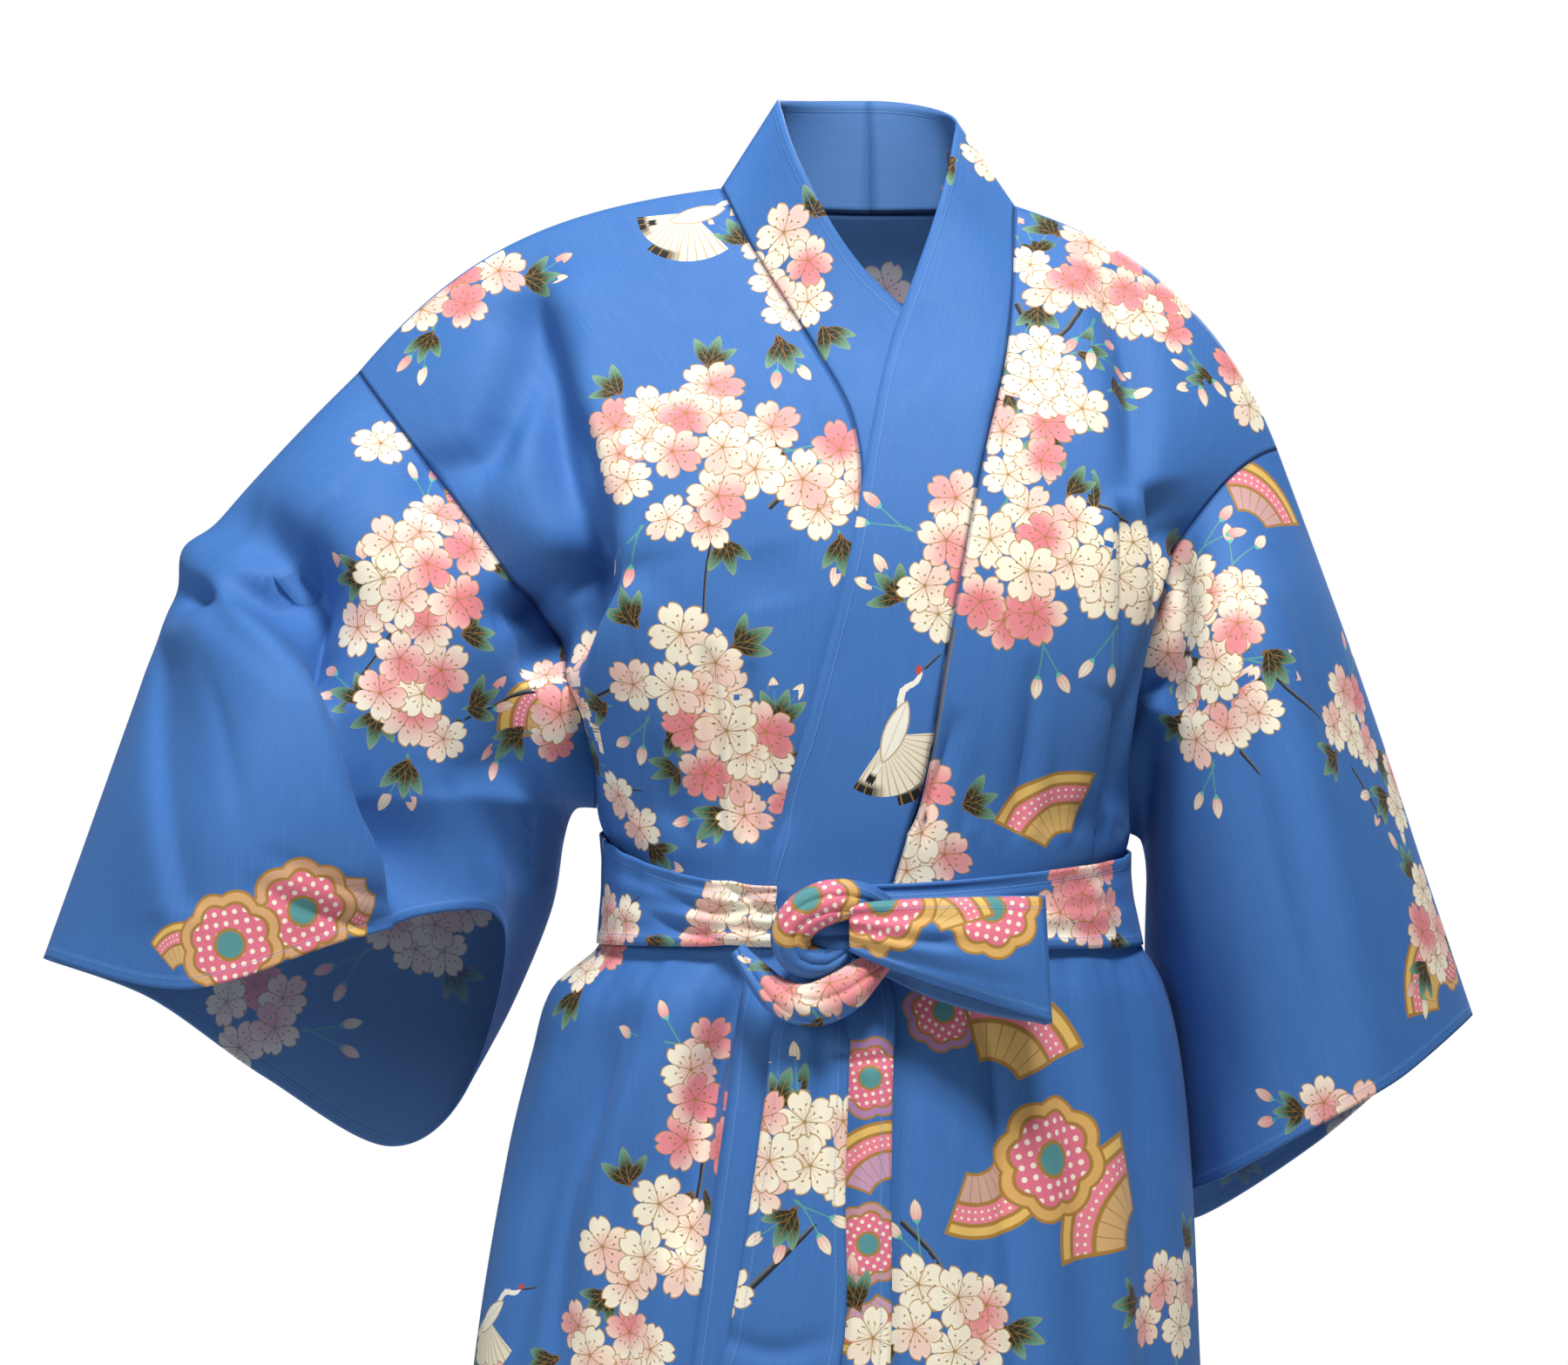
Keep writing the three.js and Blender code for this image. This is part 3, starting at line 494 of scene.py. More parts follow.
def sleeve_grid(hand):
    t = np.arange(2 * ARMHOLE_ROWS) / ARMHOLE_ROWS
    ring = np.where(
        (t <= 1)[:, None],
        armhole(hand, "front", np.minimum(t, 1)),
        armhole(hand, "back", np.clip(2 - t, 0, 1)),
    )
    sections = [along(np.array(section, float), t * 4, True) for section in SLEEVE[hand]]
    loops = np.stack([ring] + sections)
    return along(loops, np.linspace(0, 1, SLEEVE_ROWS + 1) * len(sections), False)


def grid_normals(grid, closed, flip):
    down = np.gradient(grid, axis=0)
    if closed:
        across = np.roll(grid, -1, 1) - np.roll(grid, 1, 1)
    else:
        across = np.gradient(grid, axis=1)
    normal = np.cross(down, across)
    normal /= np.linalg.norm(normal, axis=-1, keepdims=True) + 1e-12
    return -normal if flip else normal


panels = {
    "back": dict(grid=back_grid(), flip=True),
    "front_right": dict(grid=front_grid("right"), flip=True),
    "front_left": dict(grid=front_grid("left"), flip=False, lifted=True),
    "sleeve_right": dict(grid=sleeve_grid("right"), flip=False, closed=True),
    "sleeve_left": dict(grid=sleeve_grid("left"), flip=True, closed=True),
    "collar_right": dict(grid=collar_grid("right"), flip=False, wall=BAND),
    "collar_left": dict(grid=collar_grid("left"), flip=True, wall=BAND, lifted=True),
}


def share_normals():
    normals = [grid_normals(p["grid"], p.get("closed", False), p["flip"]) for p in panels.values()]
    keys = np.concatenate([p["grid"].reshape(-1, 3) for p in panels.values()])
    _, same = np.unique(np.round(keys, 1), axis=0, return_inverse=True)
    same = same.reshape(-1)
    total = np.zeros((same.max() + 1, 3))
    np.add.at(total, same, np.concatenate([n.reshape(-1, 3) for n in normals]))
    total /= np.linalg.norm(total, axis=1, keepdims=True) + 1e-12
    start = 0
    for panel in panels.values():
        size = panel["grid"].shape[0] * panel["grid"].shape[1]
        panel["normal"] = total[same[start:start + size]].reshape(panel["grid"].shape)
        start += size


share_normals()
print("grid points", sum(p["grid"].size // 3 for p in panels.values()))

# %% [markdown]
# ## Pressing in the folds
# The depth of a fold falls off smoothly on both sides of its line and toward its ends. The gathers
# that a tied belt makes above and below itself are short ripples that fade with height.

# %% Folds and overlap
def line_distance(raw, x, z):
    """How far points lie from a line, how far along it from 0 to 1, and on which side."""
    path = resample(np.array(raw, float), 8 * (len(raw) - 1))
    best, place, side = np.full(x.shape, np.inf), np.zeros(x.shape), np.zeros(x.shape)
    for i in range(len(path) - 1):
        (ax, az), (dx, dz) = path[i], path[i + 1] - path[i]
        ox, oz = x - ax, z - az
        t = np.clip((ox * dx + oz * dz) / (dx * dx + dz * dz), 0, 1)
        far = np.hypot(ox - t * dx, oz - t * dz)
        closer = far < best
        best[closer] = far[closer]
        place[closer] = (i + t[closer]) / (len(path) - 1)
        side[closer] = np.sign(dz * ox - dx * oz)[closer]
    return best, place, side


def near_line(raw, x, z, reach):
    low, high = np.min(raw, 0) - reach, np.max(raw, 0) + reach
    return (x > low[0]) & (x < high[0]) & (z > low[1]) & (z < high[1])


def fold_depth(folds, x, z):
    depth = np.zeros(x.shape)
    for amount, width, raw in folds:
        near = near_line(raw, x, z, 3 * width)
        far, place, _ = line_distance(raw, x[near], z[near])
        taper = 0.35 + 0.65 * np.sin(math.pi * place)
        depth[near] += amount * taper * np.exp(-((far / width) ** 2))
    return depth


def ledge_depth(x, z):
    depth = np.zeros(x.shape)
    for left, right, soft, reach_left, reach_right, raw in LEDGES:
        near = near_line(raw, x, z, 2.5 * max(reach_left, reach_right))
        far, place, side = line_distance(raw, x[near], z[near])
        taper = ease(place / 0.16) * ease((1.04 - place) / 0.16)
        height = np.where(side > 0, left, right)
        reach = np.where(side > 0, reach_left, reach_right)
        depth[near] -= taper * height * np.tanh(far / soft) * np.exp(-((far / reach) ** 2))
    return depth


def belt_ripples(point):
    """Fine gathers just above and below the belt."""
    x, y, z = point[..., 0], point[..., 1], point[..., 2]
    angle = np.arctan2(y, x)
    above = np.exp(-np.clip(z + 394, 0, None) / 34) * (z > -400)
    below = np.exp(np.clip(z + 482, None, 0) / 46) * (z < -478)
    wave = np.sin(41 * angle + 0.02 * z) + 0.6 * np.sin(67 * angle + 1.3)
    return 0.75 * wave * (above + below)


for name, panel in panels.items():
    point, normal = panel["grid"], panel["normal"]
    facing = ease((np.abs(normal[..., 1]) - 0.15) / 0.35)
    x, z = point[..., 0], point[..., 2]
    front = fold_depth(FOLDS + SMALL_FOLDS, x, z) + ledge_depth(x, z)
    depth = np.where(normal[..., 1] < 0, front, fold_depth(BACK_FOLDS, x, z)) * facing
    for at_x, at_z, size, height in BUMPS:
        depth = depth - height * np.exp(-((x - at_x) ** 2 + (z - at_z) ** 2) / size**2)
    if not name.startswith("sleeve"):
        depth = depth + belt_ripples(point) * (0.3 if name.startswith("collar") else 1)
    panel["grid"] = point - normal * depth[..., None]
share_normals()


def overlap_lift(point):
    x, z = point[..., 0], point[..., 2]
    from_shoulder = ease((-z - 20) / 60)
    reach = mix(95, 130, ease((-z - 450) / 300))
    side = mix(TORSO("left", -z), 190, 1 - ease((-z - 200) / 180))
    return OVERLAP_LIFT * from_shoulder * (1 - ease((x - reach) / (side - reach)))


for panel in panels.values():
    if panel.get("lifted"):
        lift = overlap_lift(panel["grid"])[..., None]
        panel["grid"] = panel["grid"] + panel["normal"] * lift
print("folds pressed in:", len(FOLDS + LEDGES + SMALL_FOLDS + BACK_FOLDS))

# %% [markdown]
# ## The belt
# The belt goes once round the waist, squeezes into the knot, makes one loop to the left of the
# wearer and ends in two free ends that hang down the front. The stretch round the waist follows the
# body's rows; near the knot it narrows and pleats along its length. The knot itself is two turns of
# belt pulled tight: one wraps it like a C, and one hangs under it like a hammock.

# %% Belt grids
KNOT_X = -39
WRAP_COLUMNS, WRAP_ROWS = 360, 22
WRAP_FOLLOWS = 0.6  # how much of the waist's curve shows through the belt
WRAP_LIFT = 9
WRAP_COVER = 0.07  # share of a row that the knot hides on each side
KNOT_HALF = 18  # the belt's half width where it enters the knot


def over_body(face, s, drop, lift):
    step = 0.01
    here = row(face, s, drop)
    across = row(face, np.minimum(s + step, 1), drop) - row(face, np.maximum(s - step, -1), drop)
    down = row(face, s, drop + 4) - row(face, s, drop - 4)
    normal = np.cross(down, across)
    normal /= np.linalg.norm(normal, axis=-1, keepdims=True)
    return here + (normal if face == "front" else -normal) * lift[..., None]


def wrap_grid():
    turn = np.linspace(0, 4, WRAP_COLUMNS + 1)[None, :]
    share = np.linspace(0, 1, WRAP_ROWS + 1)[:, None]
    knot = float(place_at("front", KNOT_X, BELT_DROP))
    s = np.where(turn <= 1, mix(knot + WRAP_COVER, 1, turn), 2 - turn)
    s = np.where(turn >= 3, mix(-1, knot - WRAP_COVER, turn - 3), s)
    near = ease(np.maximum(np.maximum(1 - turn / 1.1, (turn - 2.9) / 1.1), 0))
    half = mix(BELT_HALF, KNOT_HALF, near)
    middle = BELT_DROP + 16 * near - 4 * (1 - np.abs(s))
    drop = middle + mix(-half, half, share)
    pleats = near * 1.5 * np.sin(share * 20 + 3 * near) + 0.5 * np.sin(turn * 40) * (1 - share)
    lift = WRAP_LIFT + 3 * near + pleats - 1.2 * (1 - near) * (2 * share - 1) ** 4
    s, drop, lift = np.broadcast_arrays(s, drop, lift)
    calm = mix(BELT_DROP, drop, WRAP_FOLLOWS)
    fall = np.stack([0 * drop, 0 * drop, calm - drop], -1)
    front = over_body("front", np.clip(s, -1, 1), calm, lift) + fall
    back = over_body("back", np.clip(s, -1, 1), calm, lift) + fall
    on_back = (turn > 1) & (turn < 3)
    return np.where(on_back[..., None], back, front)


TAILS = {
    "front": Table("drop left right lift", [
        [488, -50, -22, 10],
        [509, -60, -16, 16.5],
        [540, -64, -16, 16],
        [600, -72, -18, 14],
        [680, -85, -18, 13],
        [730, -97, -26, 13],
        [805, -104, -32, 13],
    ]),
    "back": Table("drop left right lift", [
        [476, -30, 6, 8],
        [500, -37, 11, 13.5],
        [540, -40, 10, 11],
        [600, -46, 9, 9],
        [680, -58, 9, 9],
        [730, -66, 7, 9],
        [838, -68, 6, 9],
    ]),
}
TAIL_ROWS, TAIL_COLUMNS = 150, 26


def tail_grid(name):
    tail = TAILS[name]
    top, end = tail.rows[0, 0], tail.rows[-1, 0]
    share = np.linspace(0, 1, TAIL_ROWS + 1)[:, None]
    side = np.linspace(0, 1, TAIL_COLUMNS + 1)[None, :]
    drop = mix(top, end, share) + 0 * side
    x = mix(tail("left", drop), tail("right", drop), side)
    roll = 3 * (1 - share) * np.sin(side * math.pi)
    crush = np.exp(-share * 7) * 1.3 * np.sin(side * 17 + 2 * share)
    soft = 0.9 * np.sin(drop / 17 + 2.5 * side) * np.exp(-((share - 0.8) / 0.22) ** 2)
    y = front_depth(x, -drop) - tail("lift", drop) - roll - crush - soft
    return stack(x, y, -drop)


LOOP_IN = dict(x=-16, z=-450, half=13)
LOOP_OUT = dict(x=95, z=-468, half=36)
LOOP_BACK_Y, LOOP_FRONT_Y, LOOP_BULGE = -138, -156, 10


def loop_grid():
    run, turn = 70, 14
    t = np.concatenate([np.linspace(0, 1, run + 1), np.ones(turn - 1), np.linspace(1, 0, run + 1)])
    over = np.concatenate([np.zeros(run + 1), np.linspace(0, 1, turn + 1)[1:-1], np.ones(run + 1)])
    share = np.linspace(0, 1, 31)[:, None]
    half = mix(LOOP_IN["half"], LOOP_OUT["half"], t**0.75)
    bend = 4 * np.sin(over * math.pi)
    x = mix(LOOP_IN["x"], LOOP_OUT["x"], t) + bend + 4 * share * t
    sag = 7 * (1 - over) * share * np.sin(math.pi * np.clip(t, 0, 0.95)) + 3 * (1 - over) * share
    z = mix(LOOP_IN["z"], LOOP_OUT["z"], t) + mix(half, -half, share) - sag
    y = mix(LOOP_BACK_Y, LOOP_FRONT_Y, (1 - np.cos(over * math.pi)) / 2)
    crown = np.sin(t * math.pi) ** 0.7 * (0.35 + 0.65 * np.sin(share * math.pi) ** 0.8)
    y = y - LOOP_BULGE * crown * (over == 1) + 6 * (1 - share) ** 3 * t * (over == 1)
    fan = np.abs(np.sin(share * 11 + 1.2 * t)) ** 0.6 + 0.4 * np.sin(share * 23)
    pleat = (1 - t) ** 1.3 * 2.6 * fan
    dent = 2.4 * np.exp(-(((t - 0.45) / 0.12) ** 2) - ((share - 0.62 + 0.3 * t) / 0.07) ** 2)
    return stack(x, y - np.where(over > 0.5, pleat - dent, -0.4 * pleat), z)


# Bands that wrap the knot: x, y, z, half width and crown at places along the middle of each.
KNOT_BAND = [
    [6, -143, -440, 8, 3], [-10, -151, -434, 11, 5], [-28, -156, -435, 13, 7], [-43, -156, -443, 13, 8],
    [-50, -153, -456, 12, 8], [-44, -151, -468, 11, 7], [-30, -150, -470, 9, 5], [-18, -144, -463, 6, 2],
]
KNOT_SWAG = [
    [-82, -128, -464, 5, 2], [-70, -140, -478, 8, 4], [-56, -148, -491, 11, 7], [-38, -153, -495, 13, 8],
    [-20, -153, -488, 13, 8], [-6, -149, -477, 10, 6], [6, -143, -468, 6, 2],
]


def knot_grid(rows, creases):
    x, y, z, half, crown = resample(np.array(rows, float), 90).T
    run = np.linspace(0, 1, len(x))
    dx, dz = np.gradient(x), np.gradient(z)
    size = np.hypot(dx, dz)
    side_x, side_z = -dz / size, dx / size
    v = np.linspace(-1, 1, 27)[:, None]
    rolled = crown * (np.sqrt(np.clip(1 - v * v, 0, 1)) - 1)
    furrow = np.abs(np.sin(v * creases + 1.4 * run * math.pi)) ** 0.5 * 2.2 * (1 - v**4)
    return stack(x + side_x * half * v, y - rolled - crown - furrow, z + side_z * half * v)


belts = {
    "belt_wrap": dict(grid=wrap_grid(), flip=False),
    "belt_tail_front": dict(grid=tail_grid("front"), flip=False),
    "belt_tail_back": dict(grid=tail_grid("back"), flip=False),
    "belt_loop": dict(grid=loop_grid(), flip=True),
    "knot_band": dict(grid=knot_grid(KNOT_BAND, 4.4), flip=False),
    "knot_swag": dict(grid=knot_grid(KNOT_SWAG, 3.6), flip=False),
}
BELT_FOLDS = [
    (3.5, 4, [[-140, -446], [-112, -455], [-80, -466]]),
    (2.6, 4, [[-152, -424], [-112, -438], [-74, -451]]),
    (2.4, 3.5, [[-100, -420], [-76, -436], [-60, -446]]),
    (3, 4, [[100, -444], [64, -452], [24, -458]]),
    (2.6, 4, [[132, -430], [92, -436], [50, -444]]),
    (3, 5, [[-30, -514], [-34, -560], [-42, -620]]),
    (-2.5, 6, [[-50, -516], [-56, -580], [-66, -650]]),
    (2.5, 4, [[-6, -534], [-8, -580], [-12, -640]]),
    (2.8, 4, [[-24, -524], [-4, -529], [14, -524]]),
    (3, 7, [[-100, -686], [-62, -698], [-30, -690]]),
    (3.5, 8, [[-104, -738], [-66, -752], [-30, -742]]),
]
for name, belt in belts.items():
    belt["wall"] = BAND
    belt["normal"] = grid_normals(belt["grid"], False, belt["flip"])
    if name.startswith("knot") and belt["normal"][13, 45, 1] > 0:
        belt["normal"] = -belt["normal"]
    if name in ("belt_wrap", "belt_tail_front", "belt_tail_back"):
        grid, normal = belt["grid"], belt["normal"]
        depth = fold_depth(BELT_FOLDS, grid[..., 0], grid[..., 2]) * (normal[..., 1] < -0.3)
        belt["grid"] = grid - normal * depth[..., None]

# %% [markdown]
# ## From grid to cloth
# A grid from bmesh is laid on the points, and a Solidify modifier gives it the thickness of cloth,
# with the cloth's reverse as the second material. Each piece keeps a map of its own weave in metres,
# as it lay on the cutting table, and the distance to its nearest hem and seam: the hem's for the
# stitches, the seam's for a groove and painted shade along the seam.

# %% Laying a grid on the points
NO_EDGE = 900.0  # distance to a hem or seam where a piece has none


def arc_lengths(grid, axis):
    steps = np.linalg.norm(np.diff(grid, axis=axis), axis=-1)
    zero = np.zeros_like(np.take(steps, [0], axis=axis))
    return np.concatenate([zero, np.cumsum(steps, axis=axis)], axis=axis)


def read(data, field, width=3, kind=float):
    """One field of vertices, corners or faces as an array."""
    values = np.empty(len(data) * width, kind)
    data.foreach_get(field, values)
    return values.reshape(-1, width) if width > 1 else values


def store_corners(mesh, name, kind, field, values):
    mesh.attributes.new(name, kind, "CORNER").data.foreach_set(field, values.ravel())


def mesh_from(bm, name):
    mesh = bpy.data.meshes.new(name)
    bm.to_mesh(mesh)
    bm.free()
    return mesh


def edge_distance(down, across, edges):
    """Distance to the nearest of the named edges, and the length along it."""
    options = {
        "first": (down, across),
        "last": (down[-1:] - down, across),
        "start": (across, down),
        "end": (across[:, -1:] - across, down),
    }
    far, run = np.full(down.shape, NO_EDGE), np.zeros(down.shape)
    for edge in edges:
        distance, length = options[edge]
        run = np.where(distance < far, length, run)
        far = np.minimum(far, distance)
    return far, run


def link_piece(name, mesh, wall):
    piece = bpy.data.objects.new(name + "_cloth", mesh)
    scene.collection.objects.link(piece)
    if wall:
        layer = piece.modifiers.new("layer", "SOLIDIFY")
        layer.thickness = wall * MM
        layer.offset = -1
        layer.use_quality_normals = True
        layer.material_offset = 1
    return piece


def weld(mesh):
    """Joins the first and last column of a sleeve, where the same seam point lies twice."""
    bm = bmesh.new()
    bm.from_mesh(mesh)
    bmesh.ops.remove_doubles(bm, verts=bm.verts[:], dist=1e-6)
    bm.to_mesh(mesh)
    bm.free()


def cloth_piece(name, panel):
    grid, normal, closed = panel["grid"], panel["normal"], panel.get("closed", False)
    if closed:
        grid = np.concatenate([grid, grid[:, :1]], 1)
        normal = np.concatenate([normal, normal[:, :1]], 1)
    n, m = grid.shape[:2]
    panel["down"], panel["across"] = arc_lengths(grid, 0), arc_lengths(grid, 1)
    bm = bmesh.new()
    bmesh.ops.create_grid(bm, x_segments=m - 1, y_segments=n - 1, size=1)
    mesh = mesh_from(bm, name)
    flat = read(mesh.vertices, "co")
    i = np.rint((flat[:, 1] + 1) / 2 * (n - 1)).astype(int)
    j = np.rint((flat[:, 0] + 1) / 2 * (m - 1)).astype(int)
    mesh.vertices.foreach_set("co", (grid[i, j] * MM).ravel())
    corners = read(mesh.loops, "vertex_index", 1, int)
    ci, cj = i[corners], j[corners]
    weave = np.stack([panel["across"][ci, cj], -panel["down"][ci, cj]], 1) * MM
    mesh.uv_layers.new(name="weave").data.foreach_set("uv", weave.ravel())
    for kind in ("hem", "seam"):
        far, run = edge_distance(panel["down"], panel["across"], panel.get(kind, ()))
        values = np.stack([far[ci, cj], run[ci, cj], 0 * ci], 1)
        store_corners(mesh, kind, "FLOAT_VECTOR", "vector", values)
    mesh.update()
    middle = (n // 2, m // 2)
    nearest = int(np.argmin(np.abs(i - middle[0]) + np.abs(j - middle[1])))
    if Vector(mesh.vertices[nearest].normal).dot(Vector(normal[middle])) < 0:
        mesh.flip_normals()
    if closed:
        weld(mesh)
    mesh.shade_smooth()
    panel["piece"] = link_piece(name, mesh, panel.get("wall", CLOTH))
    return panel["piece"]


for name, panel in panels.items():
    if name.startswith("collar"):
        panel["hem"], panel["seam"] = ("end", "last"), ("start",)
    else:
        panel["hem"] = ("last",)
        panel["seam"] = ("first",) if name.startswith("sleeve") else ("start", "end")
for name, belt in belts.items():
    belt["hem"] = ("start", "end", "last") if "tail" in name else ("first", "last")
cloth = {**panels, **belts}
for name, panel in cloth.items():
    piece = cloth_piece(name, panel)
    print(name, len(piece.data.polygons), "faces")

# %% [markdown]
# ## The knot
# A tied knot is the belt wrapped over itself and pulled tight. A ball pressed flat gives its lump,
# and furrows that run with the wrap make the pleats.

# %% Knot and the fold under it
def knot_piece(name, at, half, lean, furrows):
    bm = bmesh.new()
    bmesh.ops.create_uvsphere(bm, u_segments=96, v_segments=64, radius=1)
    c, s = math.cos(lean), math.sin(lean)
    count, tilt, depth = furrows
    for v in bm.verts:
        p = v.co.copy()
        across = -p.x * math.sin(tilt) + p.z * math.cos(tilt)
        along_it = p.x * math.cos(tilt) + p.z * math.sin(tilt)
        pleat = abs(math.sin(across * count + 0.5 * along_it)) ** 0.7
        p *= 1 - depth * (1 - pleat)
        x, y, z = p.x * half[0], p.y * half[1], p.z * half[2]
        v.co = Vector((at[0] + x * c + z * s, at[1] + y, at[2] - x * s + z * c)) * MM
    bmesh.ops.recalc_face_normals(bm, faces=bm.faces[:])
    mesh = mesh_from(bm, name)
    mesh.shade_smooth()
    corners = read(mesh.loops, "vertex_index", 1, int)
    spots = read(mesh.vertices, "co")[corners]
    mesh.uv_layers.new(name="weave").data.foreach_set("uv", spots[:, [0, 2]].ravel())
    for kind in ("hem", "seam"):
        store_corners(mesh, kind, "FLOAT_VECTOR", "vector", np.full((len(corners), 3), NO_EDGE))
    return link_piece(name, mesh, None)


# Middle, half sizes, lean, and the count, tilt and depth of the furrows.
KNOTS = {
    "belt_knot": ((-32, -139, -455), (25, 13, 21), 0.35, (5.2, 0.5, 0.16)),
    "belt_knot_fold": ((-37, -140, -488), (32, 9, 11), -0.05, (4.4, 0.1, 0.2)),
}
knots = {name: knot_piece(name, *shape) for name, shape in KNOTS.items()}
print("knot cores", len(knots))

# %% [markdown]
# ## Where the print goes
# The cotton is printed with branches of cherry blossom. Each motif is laid on the cloth at a place
# seen from the front, in millimetres. The corners of each face near it then keep their own distance
# from its middle, so the finish can draw it sharply at any size without a picture. Four layers of
# blossom, three of leaves, two of twigs and three of fans may lie over one another.

# %% Motif tables
# Clusters of blossom by piece: x, z, half width, half height, blossoms, blush from 0 (cream) to 1 (pink).
CLUSTERS = [
    ("front_right", [
        (-112, -162, 50, 51, 14, 0.35), (-24, -182, 24, 28, 4, 0.6), (-120, -301, 31, 28, 5, 0.45),
        (-89, -343, 28, 30, 6, 0.5), (-65, -370, 22, 27, 4, 0.6), (-189, -319, 18, 28, 4, 0.35),
        (-255, -65, 32, 19, 4, 0.55), (-151, -383, 22, 12, 2, 0.3), (-140, -656, 31, 28, 6, 0.5),
        (-162, -718, 33, 18, 5, 0.35), (-102, -570, 14, 43, 5, 0.5), (-167, -470, 27, 32, 5, 0.45),
        (-238, -770, 32, 27, 6, 0.4),
    ]),
    ("collar_right", [(-50, -58, 24, 36, 5, 0.45)]),
    ("front_right", [(-63, -62, 16, 32, 3, 0.45)]),
    ("sleeve_right", [
        (-274, -230, 30, 33, 8, 0.45), (-293, -288, 31, 30, 7, 0.4), (-281, -331, 27, 16, 4, 0.35),
        (-189, -319, 18, 28, 3, 0.35), (-302, -160, 10, 11, 1, 0.1),
    ]),
    ("front_left", [
        (145, -56, 31, 38, 7, 0.5), (181, -74, 25, 27, 5, 0.65), (98, -108, 21, 17, 4, 0.1),
        (123, -135, 26, 16, 4, 0.1), (91, -160, 22, 26, 5, 0.4), (104, -56, 14, 13, 2, 0.1),
        (92, -231, 49, 40, 11, 0.5), (162, -232, 25, 36, 6, 0.35), (30, -397, 19, 33, 5, 0.6),
        (230, -126, 18, 14, 3, 0.5), (51, -699, 30, 25, 6, 0.35), (185, -689, 26, 32, 7, 0.3),
        (113, -797, 38, 27, 7, 0.4),
    ]),
    ("collar_left", [
        (59, -230, 30, 40, 7, 0.5), (43, -270, 19, 12, 3, 0.5), (70, 24, 14, 22, 3, 0.2),
        (-51, -770, 32, 27, 5, 0.4),
    ]),
    ("sleeve_left", [
        (190, -257, 18, 36, 6, 0.2), (218, -266, 25, 27, 5, 0.4), (201, -297, 25, 24, 5, 0.25),
        (217, -328, 24, 22, 5, 0.3), (297, -333, 24, 27, 5, 0.5), (324, -370, 13, 16, 2, 0.4),
        (346, -457, 15, 23, 4, 0.4), (294, -574, 16, 8, 2, 0.5),
    ]),
    ("belt_wrap", [
        (-159, -464, 27, 27, 5, 0.45), (-81, -448, 30, 22, 5, 0.35), (129, -435, 28, 33, 6, 0.55),
    ]),
    ("knot_swag", [(-28, -490, 24, 14, 4, 0.5)]),
    ("belt_tail_front", [
        (-81, -605, 26, 28, 5, 0.4), (-30, -602, 19, 30, 4, 0.2), (-108, -694, 11, 16, 1, 0.2),
    ]),
    ("belt_tail_back", [(5, -718, 16, 16, 3, 0.3)]),
]
# Twigs by piece: width, line.
TWIGS = [
    ("front_right", [
        (2.6, [(-65, -203), (-51, -189), (-30, -186)]),
        (1.6, [(-97, -213), (-102, -240), (-104, -273)]),
        (2.2, [(-143, -311), (-162, -311), (-181, -322)]),
        (2.0, [(-184, -343), (-167, -365), (-140, -375)]),
        (2.4, [(-97, -564), (-108, -629), (-124, -662)]),
    ]),
    ("front_left", [
        (3.0, [(89, -70), (103, -92), (122, -86), (138, -62)]),
        (2.6, [(116, -203), (132, -196), (162, -208)]),
        (4.2, [(50, -270), (46, -300), (39, -332), (32, -365)]), (2.0, [(130, -240), (157, -230)]),
        (2.6, [(16, -640), (38, -667), (49, -694)]),
    ]),
    ("collar_left", [(2.6, [(54, -273), (48, -294)])]),
    ("sleeve_right", [
        (2.2, [(-259, -332), (-232, -321), (-189, -300)]),
        (1.8, [(-286, -257), (-302, -284), (-324, -311)]),
    ]),
    ("sleeve_left", [
        (2.2, [(232, -284), (259, -311), (281, -332)]), (1.8, [(227, -348), (243, -365)]),
        (1.8, [(297, -359), (319, -397)]),
    ]),
    ("belt_tail_front", [(3.2, [(-92, -689), (-65, -672), (-32, -640)])]),
    ("belt_wrap", [(1.6, [(-162, -456), (-143, -440)])]),
]
# Fans and flower wheels by piece: x, z, radius, turn in degrees, 0 fan or 1 wheel, 0 ochre to 1 lilac.
FANS = [
    ("front_left", [
        (112, -392, 34, 20, 0, 0.1), (84, -532, 44, -25, 0, 0.1), (112, -600, 40, 15, 1, 0.1),
        (152, -636, 44, 60, 0, 0.2), (70, -618, 34, 200, 0, 0.5), (46, -512, 26, 60, 1, 0.9),
    ]),
    ("sleeve_left", [
        (240, -196, 34, -20, 0, 0.6), (346, -492, 34, 70, 0, 0.1), (356, -478, 22, 0, 1, 0.2),
    ]),
    ("sleeve_right", [
        (-253, -200, 18, -30, 0, 0.6), (-207, -330, 26, 60, 0, 0.1), (-398, -470, 34, 10, 1, 0.2),
        (-352, -448, 34, 30, 1, 0.3), (-316, -440, 24, 130, 0, 0.5), (-428, -474, 22, 10, 0, 0.2),
    ]),
    ("belt_loop", [
        (6, -440, 34, 10, 1, 0.1), (40, -446, 30, -30, 0, 0.1), (74, -446, 32, -10, 1, 0.1),
    ]),
    ("knot_band", [(-40, -440, 34, 30, 1, 0.1)]),
    ("belt_tail_back", [
        (0, -552, 26, 10, 1, 0.9), (2, -608, 30, 30, 0, 0.9), (-2, -656, 26, 60, 1, 0.6),
        (0, -700, 26, 200, 0, 0.8),
    ]),
]
# Cranes: piece, x, z, half length, turn in degrees.
CRANES = [
    ("front_right", -108, -16, 36, 6),
    ("collar_left", 14, -338, 40, 60),
    ("front_right", -236, -700, 36, 15),
]
BLOSSOM = 20.5  # radius of one blossom
FAR = 9.0  # where no motif is

# %% [markdown]
# ## Laying the motifs
# A motif's own axes lie in the cloth at its middle. Distances are taken through the cloth's folds as
# well as across them, so a blossom keeps its size where the cloth bends.

